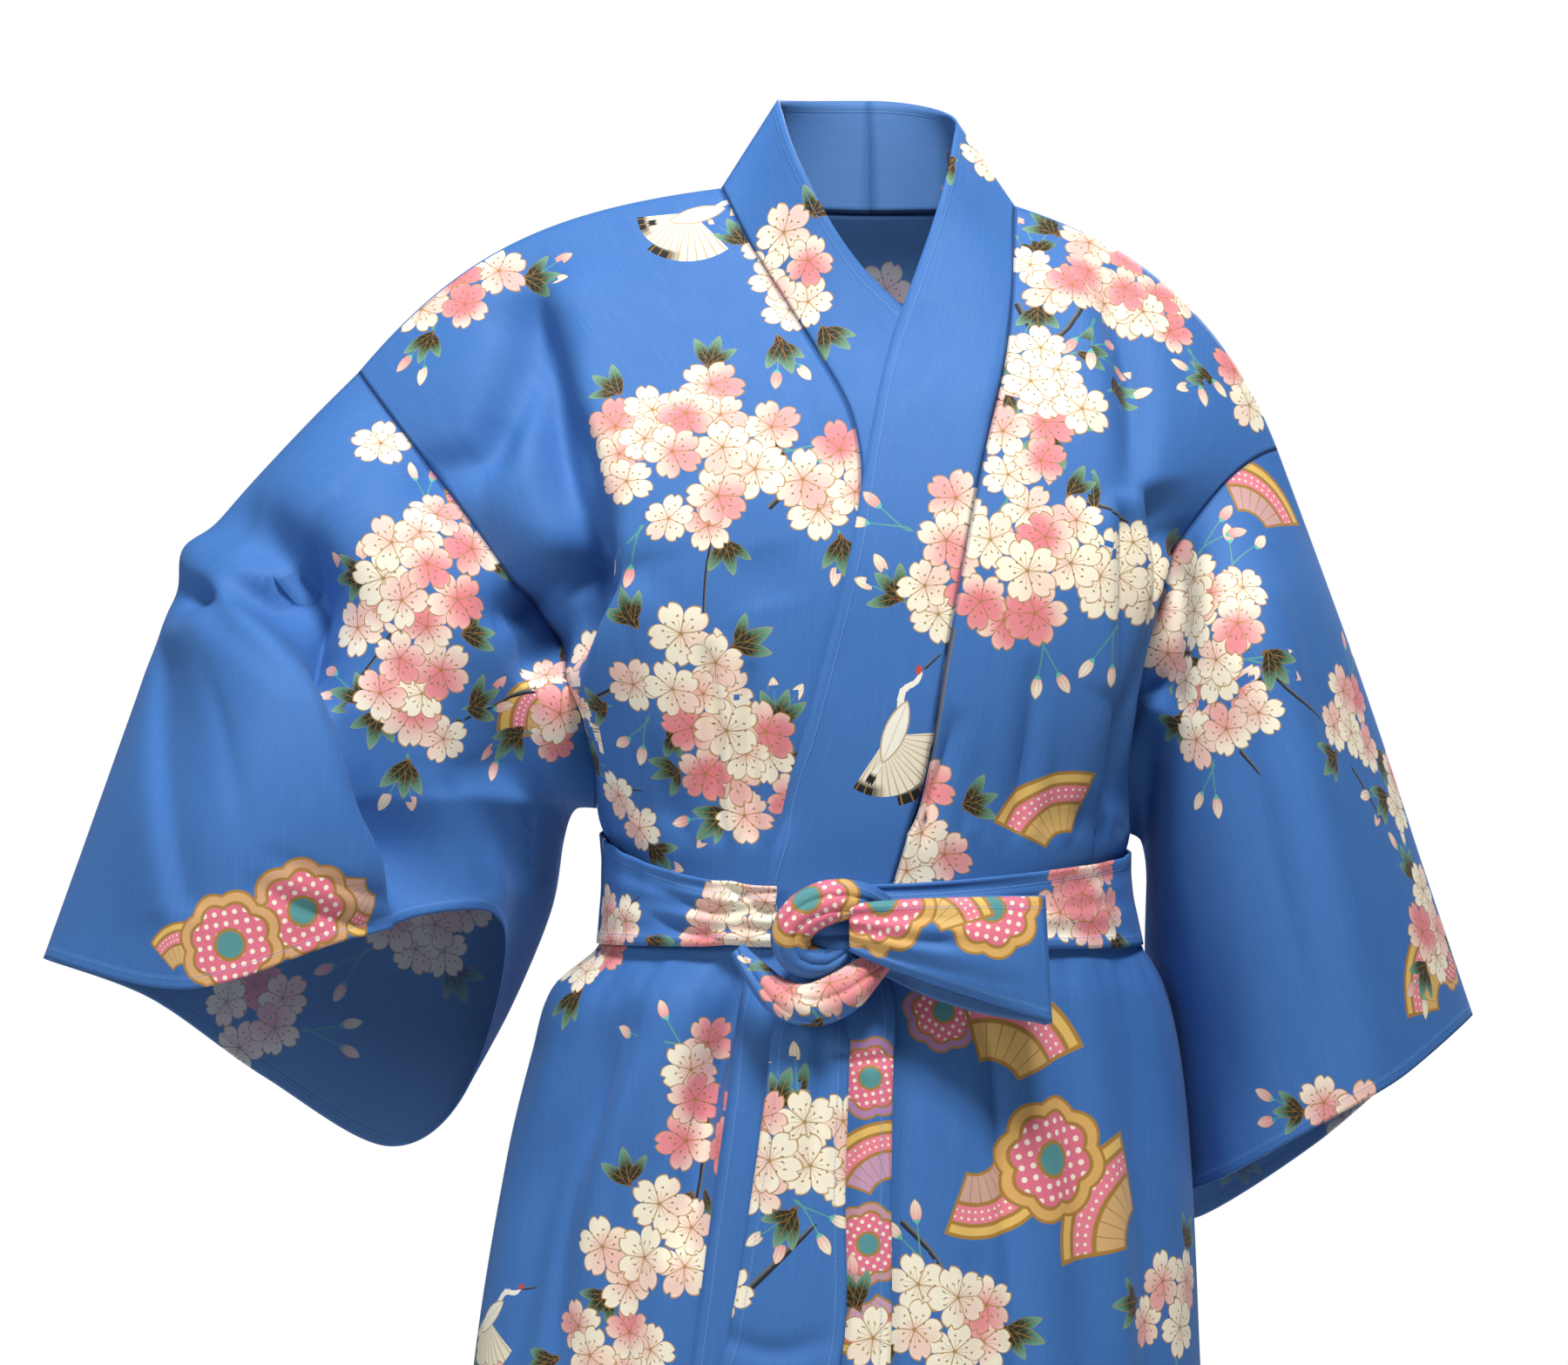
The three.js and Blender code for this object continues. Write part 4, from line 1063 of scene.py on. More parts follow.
# %% Ground for the print
class Ground:
    """The corners of one piece, and the layers of print that lie on it."""

    DEPTH = {"bloom": 4, "leaf": 3, "twig": 2, "fan": 3}

    def __init__(self, mesh):
        self.mesh = mesh
        self.points = read(mesh.vertices, "co") / MM
        self.normals = read(mesh.vertices, "normal")
        self.corner = self.points[read(mesh.loops, "vertex_index", 1, int)]
        total = read(mesh.polygons, "loop_total", 1, int)
        self.face = np.repeat(np.arange(len(total)), total)
        self.middle = read(mesh.polygons, "center") / MM
        self.facing = read(mesh.polygons, "normal")
        self.used = {kind: np.zeros(len(total), int) for kind in self.DEPTH}
        self.layer = {}
        for kind, depth in self.DEPTH.items():
            blank = np.zeros((depth, len(self.face), 4))
            blank[..., 0] = FAR
            blank[..., 1] = -1 if kind == "twig" else FAR
            self.layer[kind] = blank

    def seen(self, side):
        """Points of this piece on the plane of the view, from the front or the back."""
        if side == "back":
            flat = self.points[:, [0, 2]].copy()
            hidden = self.normals[:, 1] < 0.2
        else:
            share = CAMERA_AWAY / (CAMERA_AWAY + self.points[:, 1])
            flat = np.stack([CAMERA_X + (self.points[:, 0] - CAMERA_X) * share,
                             CAMERA_Z + (self.points[:, 2] - CAMERA_Z) * share], 1)
            hidden = self.normals[:, 1] > -0.12
        flat[hidden] += 1e4
        return flat

    def frame(self, index, side):
        n = self.normals[index]
        right = np.array([1.0 if side == "front" else -1.0, 0, 0])
        e1 = right - n * n.dot(right)
        e1 /= np.linalg.norm(e1) + 1e-9
        return e1, np.cross(n, e1)

    def nearest(self, x, z, side):
        return int(np.argmin(np.hypot(*(self.seen(side) - (x, z)).T)))

    def spot(self, start, du, dv, side):
        """The middle and axes of a motif du, dv away from a start point, measured in the cloth."""
        e1, e2 = self.frame(start, side)
        origin = self.points[start]
        reach = math.hypot(du, dv)
        near = np.flatnonzero(np.linalg.norm(self.points - origin, axis=1) < 1.4 * reach + 12)
        near = near[self.normals[near].dot(self.normals[start]) > -0.1]
        u, v = flattened(self.points[near] - origin, e1, e2)
        pick = int(np.argmin(np.hypot(u - du, v - dv)))
        index = near[pick]
        axes = self.frame(index, side)
        centre = self.points[index] + (du - u[pick]) * axes[0] + (dv - v[pick]) * axes[1]
        return centre, axes, self.normals[index]

    def lay(self, kind, spot, radius, turn, extra, stretch=1.0, depth=None):
        centre, (e1, e2), normal = spot
        c, s = math.cos(turn), math.sin(turn)
        a1, a2 = c * e1 + s * e2, c * e2 - s * e1
        near = np.linalg.norm(self.middle - centre, axis=1) < radius * 1.08 + 5
        near &= self.facing.dot(normal) > -0.2
        near &= self.used[kind] < self.DEPTH[kind]
        corners = np.flatnonzero(near[self.face])
        if not len(corners):
            return
        u, v = flattened(self.corner[corners] - centre, a1, a2)
        slot = self.used[kind][self.face[corners]]
        values = np.stack([u / radius, v / (radius * stretch), 0 * u + extra[0], 0 * u + extra[1]], 1)
        self.layer[kind][slot, corners] = values
        self.used[kind][near] += 1

    def store(self):
        for kind, layers in self.layer.items():
            for number, values in enumerate(layers, 1):
                store_corners(self.mesh, f"{kind}_{number}", "FLOAT_COLOR", "color", values)


def flattened(offset, e1, e2):
    u, v = offset.dot(e1), offset.dot(e2)
    flat = np.hypot(u, v) + 1e-6
    k = np.minimum(np.linalg.norm(offset, axis=-1) / flat, 1.5)
    return u * k, v * k


grounds = {name: Ground(panel["piece"].data) for name, panel in cloth.items()}
grounds.update({name: Ground(piece.data) for name, piece in knots.items()})
print("grounds for print:", len(grounds))

# %% [markdown]
# ## Blossom clusters
# In a cluster the middle blossoms lie on top and the outer ones under them. Leaves stand out from its
# edge in threes, and buds hang on thin green stems.

# %% Clusters, twigs, fans and cranes
LEAF, BUD, FEATHER, DARK_FEATHER, CROWN = 0, 1, 2, 3, 4
WING = 2  # the tint that makes a fan a wing
STEM, BARK, NECK = 0, 1, 2
TRIES = 900  # throws before a cluster is left as full as it is
LOOSE_GAP, TIGHT_GAP = 24, 18  # between the first and the last blossoms of a cluster
chance = random.Random(7)


def leaf(ground, start, side, u, v, length, turn, kind=LEAF, stretch=0.30, tint=0.5):
    spot = ground.spot(start, u, v, side)
    ground.lay("leaf", spot, length / 2, turn, (kind, tint), stretch)


def twig(ground, points, normals, width, kind):
    """points is a line on the cloth; the faces along it keep their distance from it."""
    used, layer = ground.used["twig"], ground.layer["twig"]
    best = np.full(len(ground.middle), np.inf)
    owner = np.zeros(len(ground.middle), int)
    for k in range(len(points) - 1):
        a, d = points[k], points[k + 1] - points[k]
        t = np.clip((ground.middle - a).dot(d) / (d.dot(d) + 1e-9), 0, 1)
        far = np.linalg.norm(ground.middle - a - t[:, None] * d, axis=1)
        closer = far < best
        best[closer], owner[closer] = far[closer], k
    near = (best < width + 5) & (used < ground.DEPTH["twig"])
    near &= ground.facing.dot(normals[len(normals) // 2]) > -0.3
    corners = np.flatnonzero(near[ground.face])
    if not len(corners):
        return
    k = owner[ground.face[corners]]
    a = points[k]
    d = points[k + 1] - a
    length = np.linalg.norm(d, axis=1, keepdims=True) + 1e-9
    side = np.cross(normals[k], d / length)
    offset = ground.corner[corners] - a
    along_it = ((offset * d).sum(1) / length[:, 0] / length[:, 0] + k) / (len(points) - 1)
    taper = (1 - 0.35 * along_it) * np.sqrt(1 - np.clip(along_it, 0, 1) ** 6)
    half = width / 2 * np.where((along_it > 0) & (along_it < 1), taper, -1.0)
    slot = used[ground.face[corners]]
    values = np.stack([(offset * side).sum(1), half, along_it, 0 * half + kind], 1)
    layer[slot, corners] = values
    used[near] += 1


def stem(ground, start, side, line, width, kind):
    spots = [ground.spot(start, u, v, side) for u, v in line]
    points, normals = np.array([q[0] for q in spots]), np.array([q[2] for q in spots])
    count = 3 * (len(points) - 1)
    twig(ground, resample(points, count), resample(normals, count), width, kind)


def cluster(ground, x, z, wide, tall, count, blush, side="front"):
    start = ground.nearest(x, z, side)
    middles = []
    count = round(count * 1.05)
    for _ in range(TRIES):
        if len(middles) >= count:
            break
        r, angle = math.sqrt(chance.random()), chance.uniform(0, 2 * math.pi)
        u, v = wide * r * math.cos(angle), tall * r * math.sin(angle)
        gap = LOOSE_GAP if len(middles) < 0.6 * count else TIGHT_GAP
        if all(math.hypot(u - p, v - q) > gap for p, q in middles):
            middles.append((u, v))
    middles.sort(key=lambda m: (m[0] / wide) ** 2 + (m[1] / tall) ** 2)
    for u, v in middles:
        spot = ground.spot(start, u, v, side)
        size = BLOSSOM * chance.uniform(0.84, 1.06)
        tint = min(max(blush + chance.uniform(-0.45, 0.45), 0), 1)
        turn = chance.uniform(0, 2 * math.pi)
        ground.lay("bloom", spot, size, turn, (tint, chance.random()), chance.uniform(0.82, 1))
    if count < 2:
        return
    first = chance.uniform(0, 2 * math.pi)
    for k in range(2 + count // 4):
        angle = first + k * 2 * math.pi / (2 + count // 4) + chance.uniform(-0.3, 0.3)
        u, v = (wide + 10) * math.cos(angle), (tall + 10) * math.sin(angle)
        if k % 2 == 0 or count < 5:
            for lean in (-0.75, 0, 0.75):
                turn = angle + lean + chance.uniform(-0.15, 0.15)
                length = chance.uniform(23, 31) * (0.85 if lean else 1)
                at_u, at_v = u + 9 * math.cos(turn), v + 9 * math.sin(turn)
                leaf(ground, start, side, at_u, at_v, length, turn, LEAF, 0.34)
        if k % 2 == 1 or count < 5:
            for lean in (-0.35, 0.3):
                turn = angle + lean
                reach = chance.uniform(20, 30)
                tip_u, tip_v = u + reach * math.cos(turn), v + reach * math.sin(turn)
                leaf(ground, start, side, tip_u, tip_v, 15, turn, BUD, 0.48, chance.random())
                line = [(u - 6 * math.cos(angle), v - 6 * math.sin(angle)), (u, v), (tip_u, tip_v)]
                stem(ground, start, side, line, 1.3, STEM)


def crane(ground, x, z, size, turn, side="front"):
    """White wings with dark tips, a neck and a red crown, on a body that flies along its turn."""
    start = ground.nearest(x, z, side)
    c, s = math.cos(math.radians(turn)), math.sin(math.radians(turn))

    def place(u, v):
        return (u * c - v * s) * size, (u * s + v * c) * size

    def feather(u, v, length, lean, kind, stretch):
        leaf(ground, start, side, *place(u, v), length * size, math.radians(turn + lean), kind, stretch)

    feather(1.02, 0.15, 0.15, 20, CROWN, 0.6)
    feather(0.05, 0.0, 1.0, 8, FEATHER, 0.34)
    for u, v, length, lean in ((-0.48, -0.16, 0.5, 128), (-0.14, -0.4, 0.66, 172)):
        spot = ground.spot(start, *place(u, v), side)
        ground.lay("fan", spot, length * size, math.radians(turn + lean), (0, WING))
    for lean in (168, 182, 196):
        feather(-0.62, -0.04, 0.42, lean, DARK_FEATHER, 0.2)
    neck = [place(*q) for q in ((0.35, 0.08), (0.62, 0.2), (0.85, 0.1), (1.02, 0.1))]
    stem(ground, start, side, neck, 0.11 * size, NECK)
    beak = [place(1.04, 0.1), place(1.2, 0.05), place(1.42, -0.02)]
    stem(ground, start, side, beak, 0.05 * size, BARK)


for name, x, z, size, turn in CRANES:
    crane(grounds[name], x, z, size, turn)
for name, rows in CLUSTERS:
    for x, z, *shape in rows:
        cluster(grounds[name], x, z, *shape)
for name, rows in TWIGS:
    ground = grounds[name]
    for width, line in rows:
        picks = [ground.nearest(x, z, "front") for x, z in line]
        count = 4 * (len(picks) - 1)
        points, normals = resample(ground.points[picks], count), resample(ground.normals[picks], count)
        twig(ground, points, normals, width * 1.5, BARK)
for name, rows in FANS:
    ground = grounds[name]
    for x, z, radius, turn, kind, tint in rows:
        spot = ground.spot(ground.nearest(x, z, "front"), 0, 0, "front")
        ground.lay("fan", spot, radius, math.radians(turn), (kind, tint))

# %% [markdown]
# ## The same print where the front doesn't show it
# The back, the far sides of the sleeves and the lower skirt carry the same cloth, so clusters are
# strewn there with an even gap between them.

# %% Strewn clusters
STREWN_GAP = 105
# Piece, side, clusters, range of x and range of z.
STREWN = [
    ("back", "back", 13, (-230, 220), (-880, -60)),
    ("sleeve_right", "back", 4, (-440, -230), (-560, -200)),
    ("sleeve_left", "back", 4, (190, 350), (-620, -260)),
    ("front_left", "front", 3, (-20, 190), (-880, -760)),
    ("front_right", "front", 2, (-230, -60), (-880, -800)),
    ("belt_wrap", "back", 3, (-150, 140), (-450, -425)),
]
for name, side, count, (x0, x1), (z0, z1) in STREWN:
    middles = []
    for _ in range(TRIES):
        x, z = chance.uniform(x0, x1), chance.uniform(z0, z1)
        if len(middles) < count and all(math.hypot(x - p, z - q) > STREWN_GAP for p, q in middles):
            middles.append((x, z))
            wide, tall = chance.uniform(26, 48), chance.uniform(22, 42)
            cluster(grounds[name], x, z, wide, tall, chance.randint(5, 10), chance.uniform(0.25, 0.55), side)
for ground in grounds.values():
    ground.store()
print("blossoms on", sum(int((g.used["bloom"] > 0).sum()) for g in grounds.values()), "faces")

# %% [markdown]
# ## Shader sums as Python
# A finish is a sum of many small masks. One class wraps a socket so that masks can be added and
# multiplied like numbers, and one method makes any other node.

# %% Value and Finish
class Value:
    """One socket of a finish, used like a number."""

    def __init__(self, finish, socket):
        self.finish, self.socket = finish, socket

    def maths(self, operation, *others):
        node = self.finish.node("ShaderNodeMath", {"operation": operation}, self, *others)
        return Value(self.finish, node.outputs[0])

    def __add__(self, other):
        return self.maths("ADD", other)

    __radd__ = __add__

    def __mul__(self, other):
        return self.maths("MULTIPLY", other)

    __rmul__ = __mul__

    def __sub__(self, other):
        return self.maths("SUBTRACT", other)

    def __rsub__(self, other):
        return self.times_plus(-1, other)

    def __truediv__(self, other):
        return self.maths("DIVIDE", other)

    def __pow__(self, other):
        return self.maths("POWER", other)

    def __abs__(self):
        return self.maths("ABSOLUTE")

    def times_plus(self, factor, added):
        return self.maths("MULTIPLY_ADD", factor, added)

    def above(self, edge, soft):
        """0 below the edge, 1 above it, with a soft step."""
        return self.times_plus(1 / soft, 0.5 - edge / soft).clip()

    def over(self, edge):
        """1 above the edge and 0 below it."""
        return self.maths("GREATER_THAN", edge)

    def clip(self):
        node = self.finish.node("ShaderNodeClamp", None, self)
        return Value(self.finish, node.outputs[0])

    def wave(self):
        return self.maths("SINE")

    def saw(self):
        """Distance to the nearest whole number, from 0 to 0.5."""
        return self.maths("PINGPONG", 0.5)


def length(x, y):
    return x.times_plus(x, y * y).maths("SQRT")


class Finish:
    """A material's node tree."""

    def __init__(self, name, like=None):
        if like:
            self.material = like.material.copy()
            self.material.name = name
            self.tree = self.material.node_tree
            self.shader = next(n for n in self.tree.nodes if n.type == "BSDF_PRINCIPLED")
            return
        self.material = bpy.data.materials.new(name)
        self.material.use_nodes = True
        self.tree = self.material.node_tree
        self.tree.nodes.clear()
        self.shader = self.node("ShaderNodeBsdfPrincipled")
        self.node("ShaderNodeOutputMaterial", None, self.shader.outputs[0])

    def node(self, kind, settings=None, *values, **named):
        node = self.tree.nodes.new(kind)
        for field, setting in (settings or {}).items():
            setattr(node, field, setting)
        for key, value in (*enumerate(values), *named.items()):
            self.feed(node.inputs[key], value)
        return node

    def feed(self, socket, value):
        value = getattr(value, "socket", value)
        if isinstance(value, bpy.types.NodeSocket):
            self.tree.links.new(value, socket)
        else:
            socket.default_value = value

    def blend(self, mask, under, over):
        """A colour laid over another by a mask."""
        node = self.node("ShaderNodeMix", {"data_type": "RGBA"})
        for key, value in ((0, mask), (6, under), (7, over)):
            self.feed(node.inputs[key], value)
        return node.outputs[2]

    def attribute(self, name):
        """An attribute's four numbers."""
        node = self.node("ShaderNodeAttribute", {"attribute_name": name})
        parts = self.node("ShaderNodeSeparateXYZ", None, node.outputs["Vector"])
        return [Value(self, socket) for socket in (*parts.outputs, node.outputs["Alpha"])]

    def topmost(self, layers, inside):
        """The numbers of the highest layer whose motif covers the point, and whether one does."""
        chosen, covered = None, None
        for name in layers:
            numbers = self.attribute(name)
            mask = inside(self, *numbers)
            if chosen is None:
                chosen, covered = numbers, mask
                continue
            chosen = [under + mask * (over - under) for under, over in zip(chosen, numbers)]
            covered = covered.maths("MAXIMUM", mask)
        return chosen, covered

    def noise(self, scale, detail=3, stretch=(1, 1, 1), vector=None):
        if vector is None:
            vector = self.node("ShaderNodeTexCoord").outputs["Object"]
        place = self.node("ShaderNodeMapping", None, vector, Scale=stretch)
        node = self.node("ShaderNodeTexNoise", None, place.outputs[0], Scale=scale, Detail=detail)
        return Value(self, node.outputs["Fac"])


def srgb(*values):
    """A colour as it is named on screen, made linear for the shader."""
    linear = [(v / 255 / 12.92) if v <= 10 else ((v / 255 + 0.055) / 1.055) ** 2.4 for v in values]
    return (*linear, 1)


# %% [markdown]
# ## Drawing the blossoms
# A cherry blossom has five petals with a notch at each tip. Its outline in gold, its blush from one
# side and its fine stamens are all functions of the angle and distance from the middle. The layers
# are compared first, and only the blossom on top is drawn, which keeps the finish quick.

# %% Blossoms
CREAM, PINK, ROSE = srgb(248, 238, 214), srgb(238, 160, 160), srgb(226, 112, 126)
GOLD, OLIVE = srgb(170, 126, 56), srgb(140, 122, 36)
INK, TEAL, MOSS = srgb(18, 20, 20), srgb(98, 186, 164), srgb(50, 60, 26)
PETAL = math.pi / 5


def petal_place(x, y):
    """0 in the middle of a petal, 1 in the cleft between two."""
    return (y.maths("ARCTAN2", x).times_plus(2.5 / math.pi, 10)).saw() * 2


def petal_rim(q):
    notch = q.times_plus(-5.5, 1).maths("MAXIMUM", 0)
    return (1 - q * q).maths("SQRT").times_plus(0.5, notch.times_plus(-0.14, 0.48))


def in_blossom(f, x, y, tint, seed):
    return petal_rim(petal_place(x, y)).maths("GREATER_THAN", length(x, y))


def draw_blossoms(f, under):
    (x, y, tint, seed), inside = f.topmost([f"bloom_{k}" for k in (4, 3, 2, 1)], in_blossom)
    r, q = length(x, y), petal_place(x, y)
    angle = y.maths("ARCTAN2", x)
    depth = petal_rim(q) - r
    cleft = (1 - q) * r * PETAL
    line = 1 - depth.above(0.045, 0.03) * cleft.above(0.016, 0.03)
    blush = (tint * 1.3 + x.times_plus(0.6, 0) + r.times_plus(-0.55, 0.08)).clip()
    deep = blush.times_plus(2.2, -1.3).clip() * r.times_plus(-0.5, 1)
    petal = f.blend(blush * (1 - r.times_plus(1.6, -1.2).clip()), CREAM, PINK)
    petal = f.blend(deep * 0.8, petal, ROSE)
    rays = (angle.times_plus(7.5 / math.pi, seed)).saw() * (2 * math.pi / 15) * r
    hair = (0.011 - rays).above(0, 0.014) * (0.42 - r).above(0, 0.03)
    ring = (angle.times_plus(7.5, seed * 6)).wave().times_plus(0.08, 0.45)
    ball = length(rays, r - ring)
    petal = f.blend(hair * 0.55, petal, f.blend(tint, GOLD, ROSE))
    petal = f.blend((0.036 - ball).above(0, 0.02) * 0.95, petal, OLIVE)
    petal = f.blend((0.06 - r).above(0, 0.03) * 0.7, petal, OLIVE)
    petal = f.blend(line * 0.9, petal, GOLD)
    return f.blend(inside, under, petal)


# %% [markdown]
# ## Leaves, buds and feathers
# These are all long shapes on one axis, from base to tip. A leaf is nearly black at the base and
# green at the tip, with gold ribs. A bud and a crane's feather use the same outline.

# %% Leaves, buds, feathers and twigs
def leaf_width(x):
    return (1 - x * x).maths("MAXIMUM", 0) ** 0.8


def in_leaf(f, x, y, kind, tint):
    return (leaf_width(x) - abs(y)).over(0)


def draw_leaves(f, under):
    (x, y, kind, tint), inside = f.topmost([f"leaf_{k}" for k in (3, 2, 1)], in_leaf)
    side = abs(y)
    depth = leaf_width(x) - side
    rib = (0.06 - side).above(0, 0.06)
    veins = (0.1 - ((x - side * 0.35) * 3.2).saw()).above(0, 0.1) * 0.4
    tip = (x + side * 0.3).times_plus(1.0, -0.12).clip()
    edge = (0.14 - depth).above(0, 0.1)
    green = f.blend((x * 0.6 + 0.5).clip(), INK, MOSS)
    green = f.blend(tip, green, TEAL)
    green = f.blend(rib.maths("MAXIMUM", veins) * 0.7, green, GOLD)
    green = f.blend(edge * 0.45, green, GOLD)
    petal_line = (0.05 - abs(side - leaf_width(x) * 0.4)).above(0, 0.06) * 0.5
    bud = f.blend((tint - x * 0.5).clip(), CREAM, PINK)
    bud = f.blend(petal_line.maths("MAXIMUM", edge * 0.8), bud, GOLD)
    bud = f.blend((-0.62 - x).above(0, 0.1), bud, TEAL)
    plume = f.blend((edge * 0.8).maths("MAXIMUM", rib * 0.3), srgb(246, 242, 226), GOLD)
    plume = f.blend(x.above(0.2, 0.3) * kind.over(2.5), plume, INK)
    colour = f.blend(kind.over(0.5), green, bud)
    colour = f.blend(kind.over(1.5), colour, plume)
    colour = f.blend(kind.over(3.5), colour, srgb(206, 70, 58))
    return f.blend(inside, under, colour)


def in_twig(f, across, half, run, kind):
    return (half - abs(across)).over(0)


def draw_twigs(f, under):
    (across, half, run, kind), inside = f.topmost(["twig_2", "twig_1"], in_twig)
    lit = (across / half.maths("MAXIMUM", 0.1)).above(0.2, 0.9)
    bark = f.blend(lit, srgb(30, 32, 38), srgb(108, 112, 116))
    colour = f.blend(kind.over(0.5), srgb(86, 156, 146), bark)
    colour = f.blend(kind.over(1.5), colour, srgb(244, 240, 226))
    return f.blend(inside, under, colour)


# %% [markdown]
# ## Fans and flower wheels
# Between the branches lie open fans and round flower wheels in ochre, pink and lilac, motifs that
# are as old as the cloth trade itself. Rings at fixed distances from the pivot part their colours.

# %% Fans and wheels
def fan_polar(x, y):
    low = y + 0.75
    return length(x, low), x.maths("ARCTAN2", low)


def wheel_rim(x, y):
    return abs((y.maths("ARCTAN2", x) * 4).wave()).times_plus(0.1, 0.86)


def in_fan(f, x, y, kind, tint):
    r, angle = fan_polar(x, y)
    fan = ((r + tint.over(1.5) * 0.35).over(0.45) * (1.6 - r).over(0)) * (0.72 - abs(angle)).over(0)
    wheel = (wheel_rim(x, y) - length(x, y)).over(0)
    return fan + kind.over(0.5) * (wheel - fan)


def draw_fans(f, under):
    (x, y, kind, tint), inside = f.topmost(["fan_3", "fan_2", "fan_1"], in_fan)
    r, angle = fan_polar(x, y)
    ribs = (0.04 - (angle * 4.5).saw()).above(0, 0.05) * (1 - r).over(0)
    leafy = f.blend(tint, srgb(222, 182, 92), srgb(196, 150, 190))
    leafy = f.blend(r.over(1.0), leafy, srgb(238, 132, 150))
    leafy = f.blend(r.over(1.36), leafy, srgb(230, 190, 104))
    dots = length((angle * 9).saw(), (r * 8).saw())
    spotted = (0.2 - dots).above(0, 0.06) * r.over(1.02) * (1.34 - r).over(0)
    leafy = f.blend(spotted, leafy, CREAM)
    border = abs(r - 1.0).maths("MINIMUM", abs(r - 1.36)).maths("MINIMUM", abs(r - 1.57))
    border = border.maths("MINIMUM", abs(r - 0.47)).maths("MINIMUM", abs(abs(angle) - 0.7) * r)
    leafy = f.blend((0.035 - border).above(0, 0.02).maths("MAXIMUM", ribs), leafy, GOLD)
    quill = (0.07 - (angle * 6).saw()).above(0, 0.09)
    plume = f.blend(r.above(1.3, 0.2) * angle.above(0.2, 0.3), srgb(238, 230, 206), INK)
    leafy = f.blend(tint.over(1.5), leafy, f.blend(quill * 0.8, plume, GOLD))
    ring, rim = length(x, y), wheel_rim(x, y)
    spots = length((x * 5.5).saw(), (y * 5.5).saw())
    wheel = f.blend(tint, srgb(226, 178, 84), srgb(170, 124, 184))
    wheel = f.blend((rim - 0.22 - ring).over(0), wheel, srgb(228, 116, 140))
    wheel = f.blend((0.24 - spots).above(0, 0.06) * (rim - 0.27 - ring).over(0), wheel, CREAM)
    wheel = f.blend((0.26 - ring).over(0), wheel, srgb(84, 146, 148))
    lines = abs(rim - ring - 0.02).maths("MINIMUM", abs(rim - 0.23 - ring))
    wheel = f.blend((0.03 - lines.maths("MINIMUM", abs(ring - 0.26))).above(0, 0.02), wheel, GOLD)
    return f.blend(inside, under, f.blend(kind.over(0.5), leafy, wheel))


# %% [markdown]
# ## Printed cotton
# The ground is a clear blue, a little uneven as dyed cotton is. The weave is a fine twill that only
# shows close up. Hems are turned and stitched: a ridge at the edge and a row of small dents beside it.
# The reverse shows the same print, paler, because the dye doesn't go all the way through.

# %% Cotton finishes
BLUE, LIGHT_BLUE, SEAM_SHADE_BLUE = srgb(60, 112, 180), srgb(84, 136, 200), srgb(20, 48, 104)


def printed_cotton():
    f = Finish("printed cotton")
    uv = f.node("ShaderNodeUVMap", {"uv_map": "weave"}).outputs[0]
    u, v, _ = [Value(f, socket) for socket in f.node("ShaderNodeSeparateXYZ", None, uv).outputs]
    slub = f.noise(700, 2, (1, 0.04, 1), uv)
    colour = f.blend(f.noise(9, 4).times_plus(1, -0.35).clip(), BLUE, srgb(54, 104, 172))
    colour = f.blend(slub.times_plus(0.6, -0.25).clip(), colour, LIGHT_BLUE)
    for draw in (draw_fans, draw_twigs, draw_leaves, draw_blossoms):
        colour = draw(f, colour)
    hem, run, _, _ = f.attribute("hem")
    seam, _, _, _ = f.attribute("seam")
    stitch = (0.55 - abs(hem - 6.5)).above(0, 0.5) * (run * 0.4).saw().above(0.12, 0.1)
    # Along each seam a narrow band is blended toward dark blue: painted shade in the seam's crease. The bump
    # below also sinks the same band as a groove.
    fold = (1.6 - seam).above(0, 1.5)
    colour = f.blend(stitch * 0.35, colour, srgb(112, 156, 214))
    colour = f.blend(fold * 0.45, colour, SEAM_SHADE_BLUE)
    f.feed(f.shader.inputs["Base Color"], colour)
    twill = u.times_plus(1500, v * 750).saw()
    warp = (u * 2400).saw() * (v * 2400).saw()
    grain = twill + warp * 1.2 + slub * 0.8 + f.noise(160, 2) * 0.8
    ridge = (7.5 - hem).above(0, 1.0) * 3.0 - stitch * 1.6 - fold * 3.0
    bump = f.node("ShaderNodeBump", None, Strength=0.5, Distance=0.00022, Height=grain + ridge)
    f.feed(f.shader.inputs["Normal"], bump.outputs[0])
    f.feed(f.shader.inputs["Roughness"], f.noise(60, 2).times_plus(0.16, 0.58))
    f.shader.inputs["Sheen Weight"].default_value = 0.08
    f.shader.inputs["Sheen Roughness"].default_value = 0.4
    f.shader.inputs["Sheen Tint"].default_value = srgb(176, 206, 255)
    f.shader.inputs["Specular IOR Level"].default_value = 0.35
    print("nodes in the finish:", len(f.tree.nodes))
    return f


face_cotton = printed_cotton()
reverse_cotton = Finish("printed cotton, reverse", face_cotton)
base = reverse_cotton.shader.inputs["Base Color"]
reverse_cotton.feed(base, reverse_cotton.blend(0.5, base.links[0].from_socket, srgb(84, 122, 172)))
for name, ground in grounds.items():
    ground.mesh.materials.append(face_cotton.material)
    if name in cloth:
        ground.mesh.materials.append(reverse_cotton.material)

# %% [markdown]
# ## Floor and light
# The coat hangs above a plain pale floor, at the height where someone wears it. One softbox hangs high
# in front, which makes the chest and shoulders bright and leaves the hollows of the folds dark. A weak
# one stands low on the wearer's right for the forearm, and one behind the coat lights its back. The
# room is white to the eye but gives off little light itself, so the folds keep their shade.

# %% Floor, room and softboxes
class Room(Finish):
    """The same sums for the world's node tree."""

    def __init__(self, tree):
        self.tree = tree


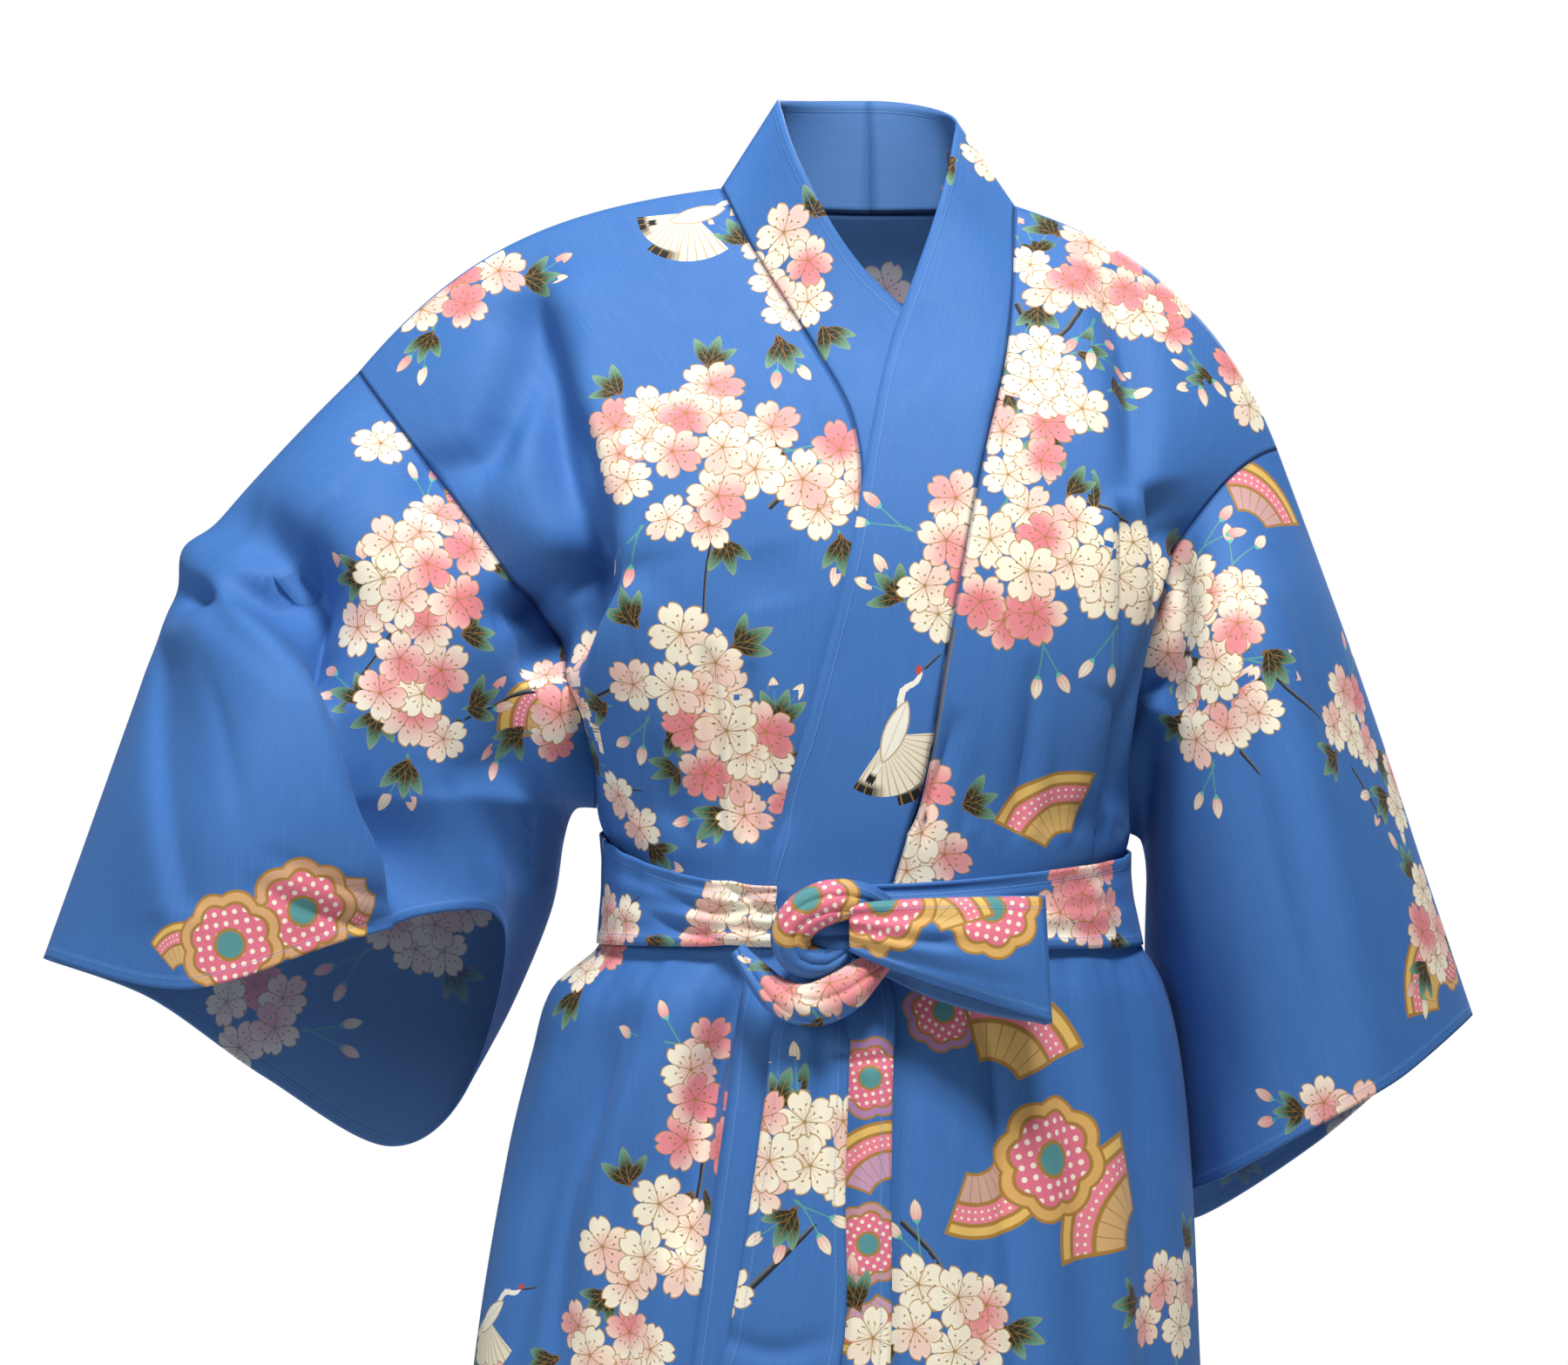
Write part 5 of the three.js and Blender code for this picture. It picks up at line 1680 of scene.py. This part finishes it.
FLOOR_HEIGHT, FLOOR_RADIUS = -1.42, 4.0
bm = bmesh.new()
bmesh.ops.create_circle(bm, cap_ends=True, segments=96, radius=FLOOR_RADIUS)
bmesh.ops.translate(bm, verts=bm.verts[:], vec=(0, 0, FLOOR_HEIGHT))
floor_mesh = mesh_from(bm, "floor")
floor = bpy.data.objects.new("floor", floor_mesh)
scene.collection.objects.link(floor)
pale = Finish("pale floor")
tone = pale.blend(pale.noise(3) * 0.3, srgb(238, 238, 236), srgb(230, 230, 230))
pale.feed(pale.shader.inputs["Base Color"], tone)
floor_mesh.materials.append(pale.material)

world = bpy.data.worlds.new("white room")
scene.world = world
world.use_nodes = True
ROOM_GLOW = 0.12  # straight up; none straight down
room = Room(world.node_tree)
facing = room.node("ShaderNodeTexCoord").outputs["Generated"]
height = Value(room, room.node("ShaderNodeSeparateXYZ", None, facing).outputs["Z"])
glow = height.times_plus(ROOM_GLOW / 2, ROOM_GLOW / 2)
seen = Value(room, room.node("ShaderNodeLightPath").outputs["Is Camera Ray"])
backdrop = world.node_tree.nodes["Background"]
room.feed(backdrop.inputs["Color"], (1, 1, 1, 1))
room.feed(backdrop.inputs["Strength"], glow + seen * (1 - glow))
scene.view_settings.view_transform = "Standard"


def softbox(name, at, aim, size, watts):
    light = bpy.data.lights.new(name, "AREA")
    light.shape = "RECTANGLE"
    light.size, light.size_y = size
    light.energy = watts
    lamp = bpy.data.objects.new(name, light)
    lamp.location = at
    lamp.rotation_euler = (Vector(aim) - Vector(at)).to_track_quat("-Z", "Y").to_euler()
    scene.collection.objects.link(lamp)


softbox("key", (0.2, -1.35, 1.9), (-0.05, 0, -0.3), (0.6, 0.5), 88)
softbox("side", (-1.6, -1.2, 0.2), (-0.2, 0, -0.4), (0.6, 0.8), 11)
softbox("behind", (0.8, 1.9, 1.2), (0, 0, -0.4), (1.0, 1.0), 60)

# %% [markdown]
# ## Handing the pieces over
# Each piece of cloth stands for one imported solid, and the two turns of belt round the knot stand for
# none. Every piece that began flat prints its cut: its width and length along the cloth, all round on
# a sleeve, and its area.

# %% Hand over
for name, panel in cloth.items():
    piece = panel["piece"]
    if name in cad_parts:
        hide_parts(name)
    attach(piece, "root")
    "cloth" if name in panels and not name.startswith("collar") else "band"
for name, piece in knots.items():
    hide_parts(name)
    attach(piece, "root")


def flat_area(panel):
    g = panel["grid"]
    if panel.get("closed"):
        g = np.concatenate([g, g[:, :1]], 1)
    a, b = g[1:, 1:] - g[:-1, :-1], g[1:, :-1] - g[:-1, 1:]
    return float(np.linalg.norm(np.cross(a, b), axis=-1).sum() / 2 * MM * MM)


for name, panel in cloth.items():
    wide, tall = float(panel["across"][:, -1].max() * MM), float(panel["down"][-1].max() * MM)
    area = min(flat_area(panel), wide * tall * 0.99)
    print(f"{name}: cut {wide:.3f} x {tall:.3f} m, {area:.3f} m2")
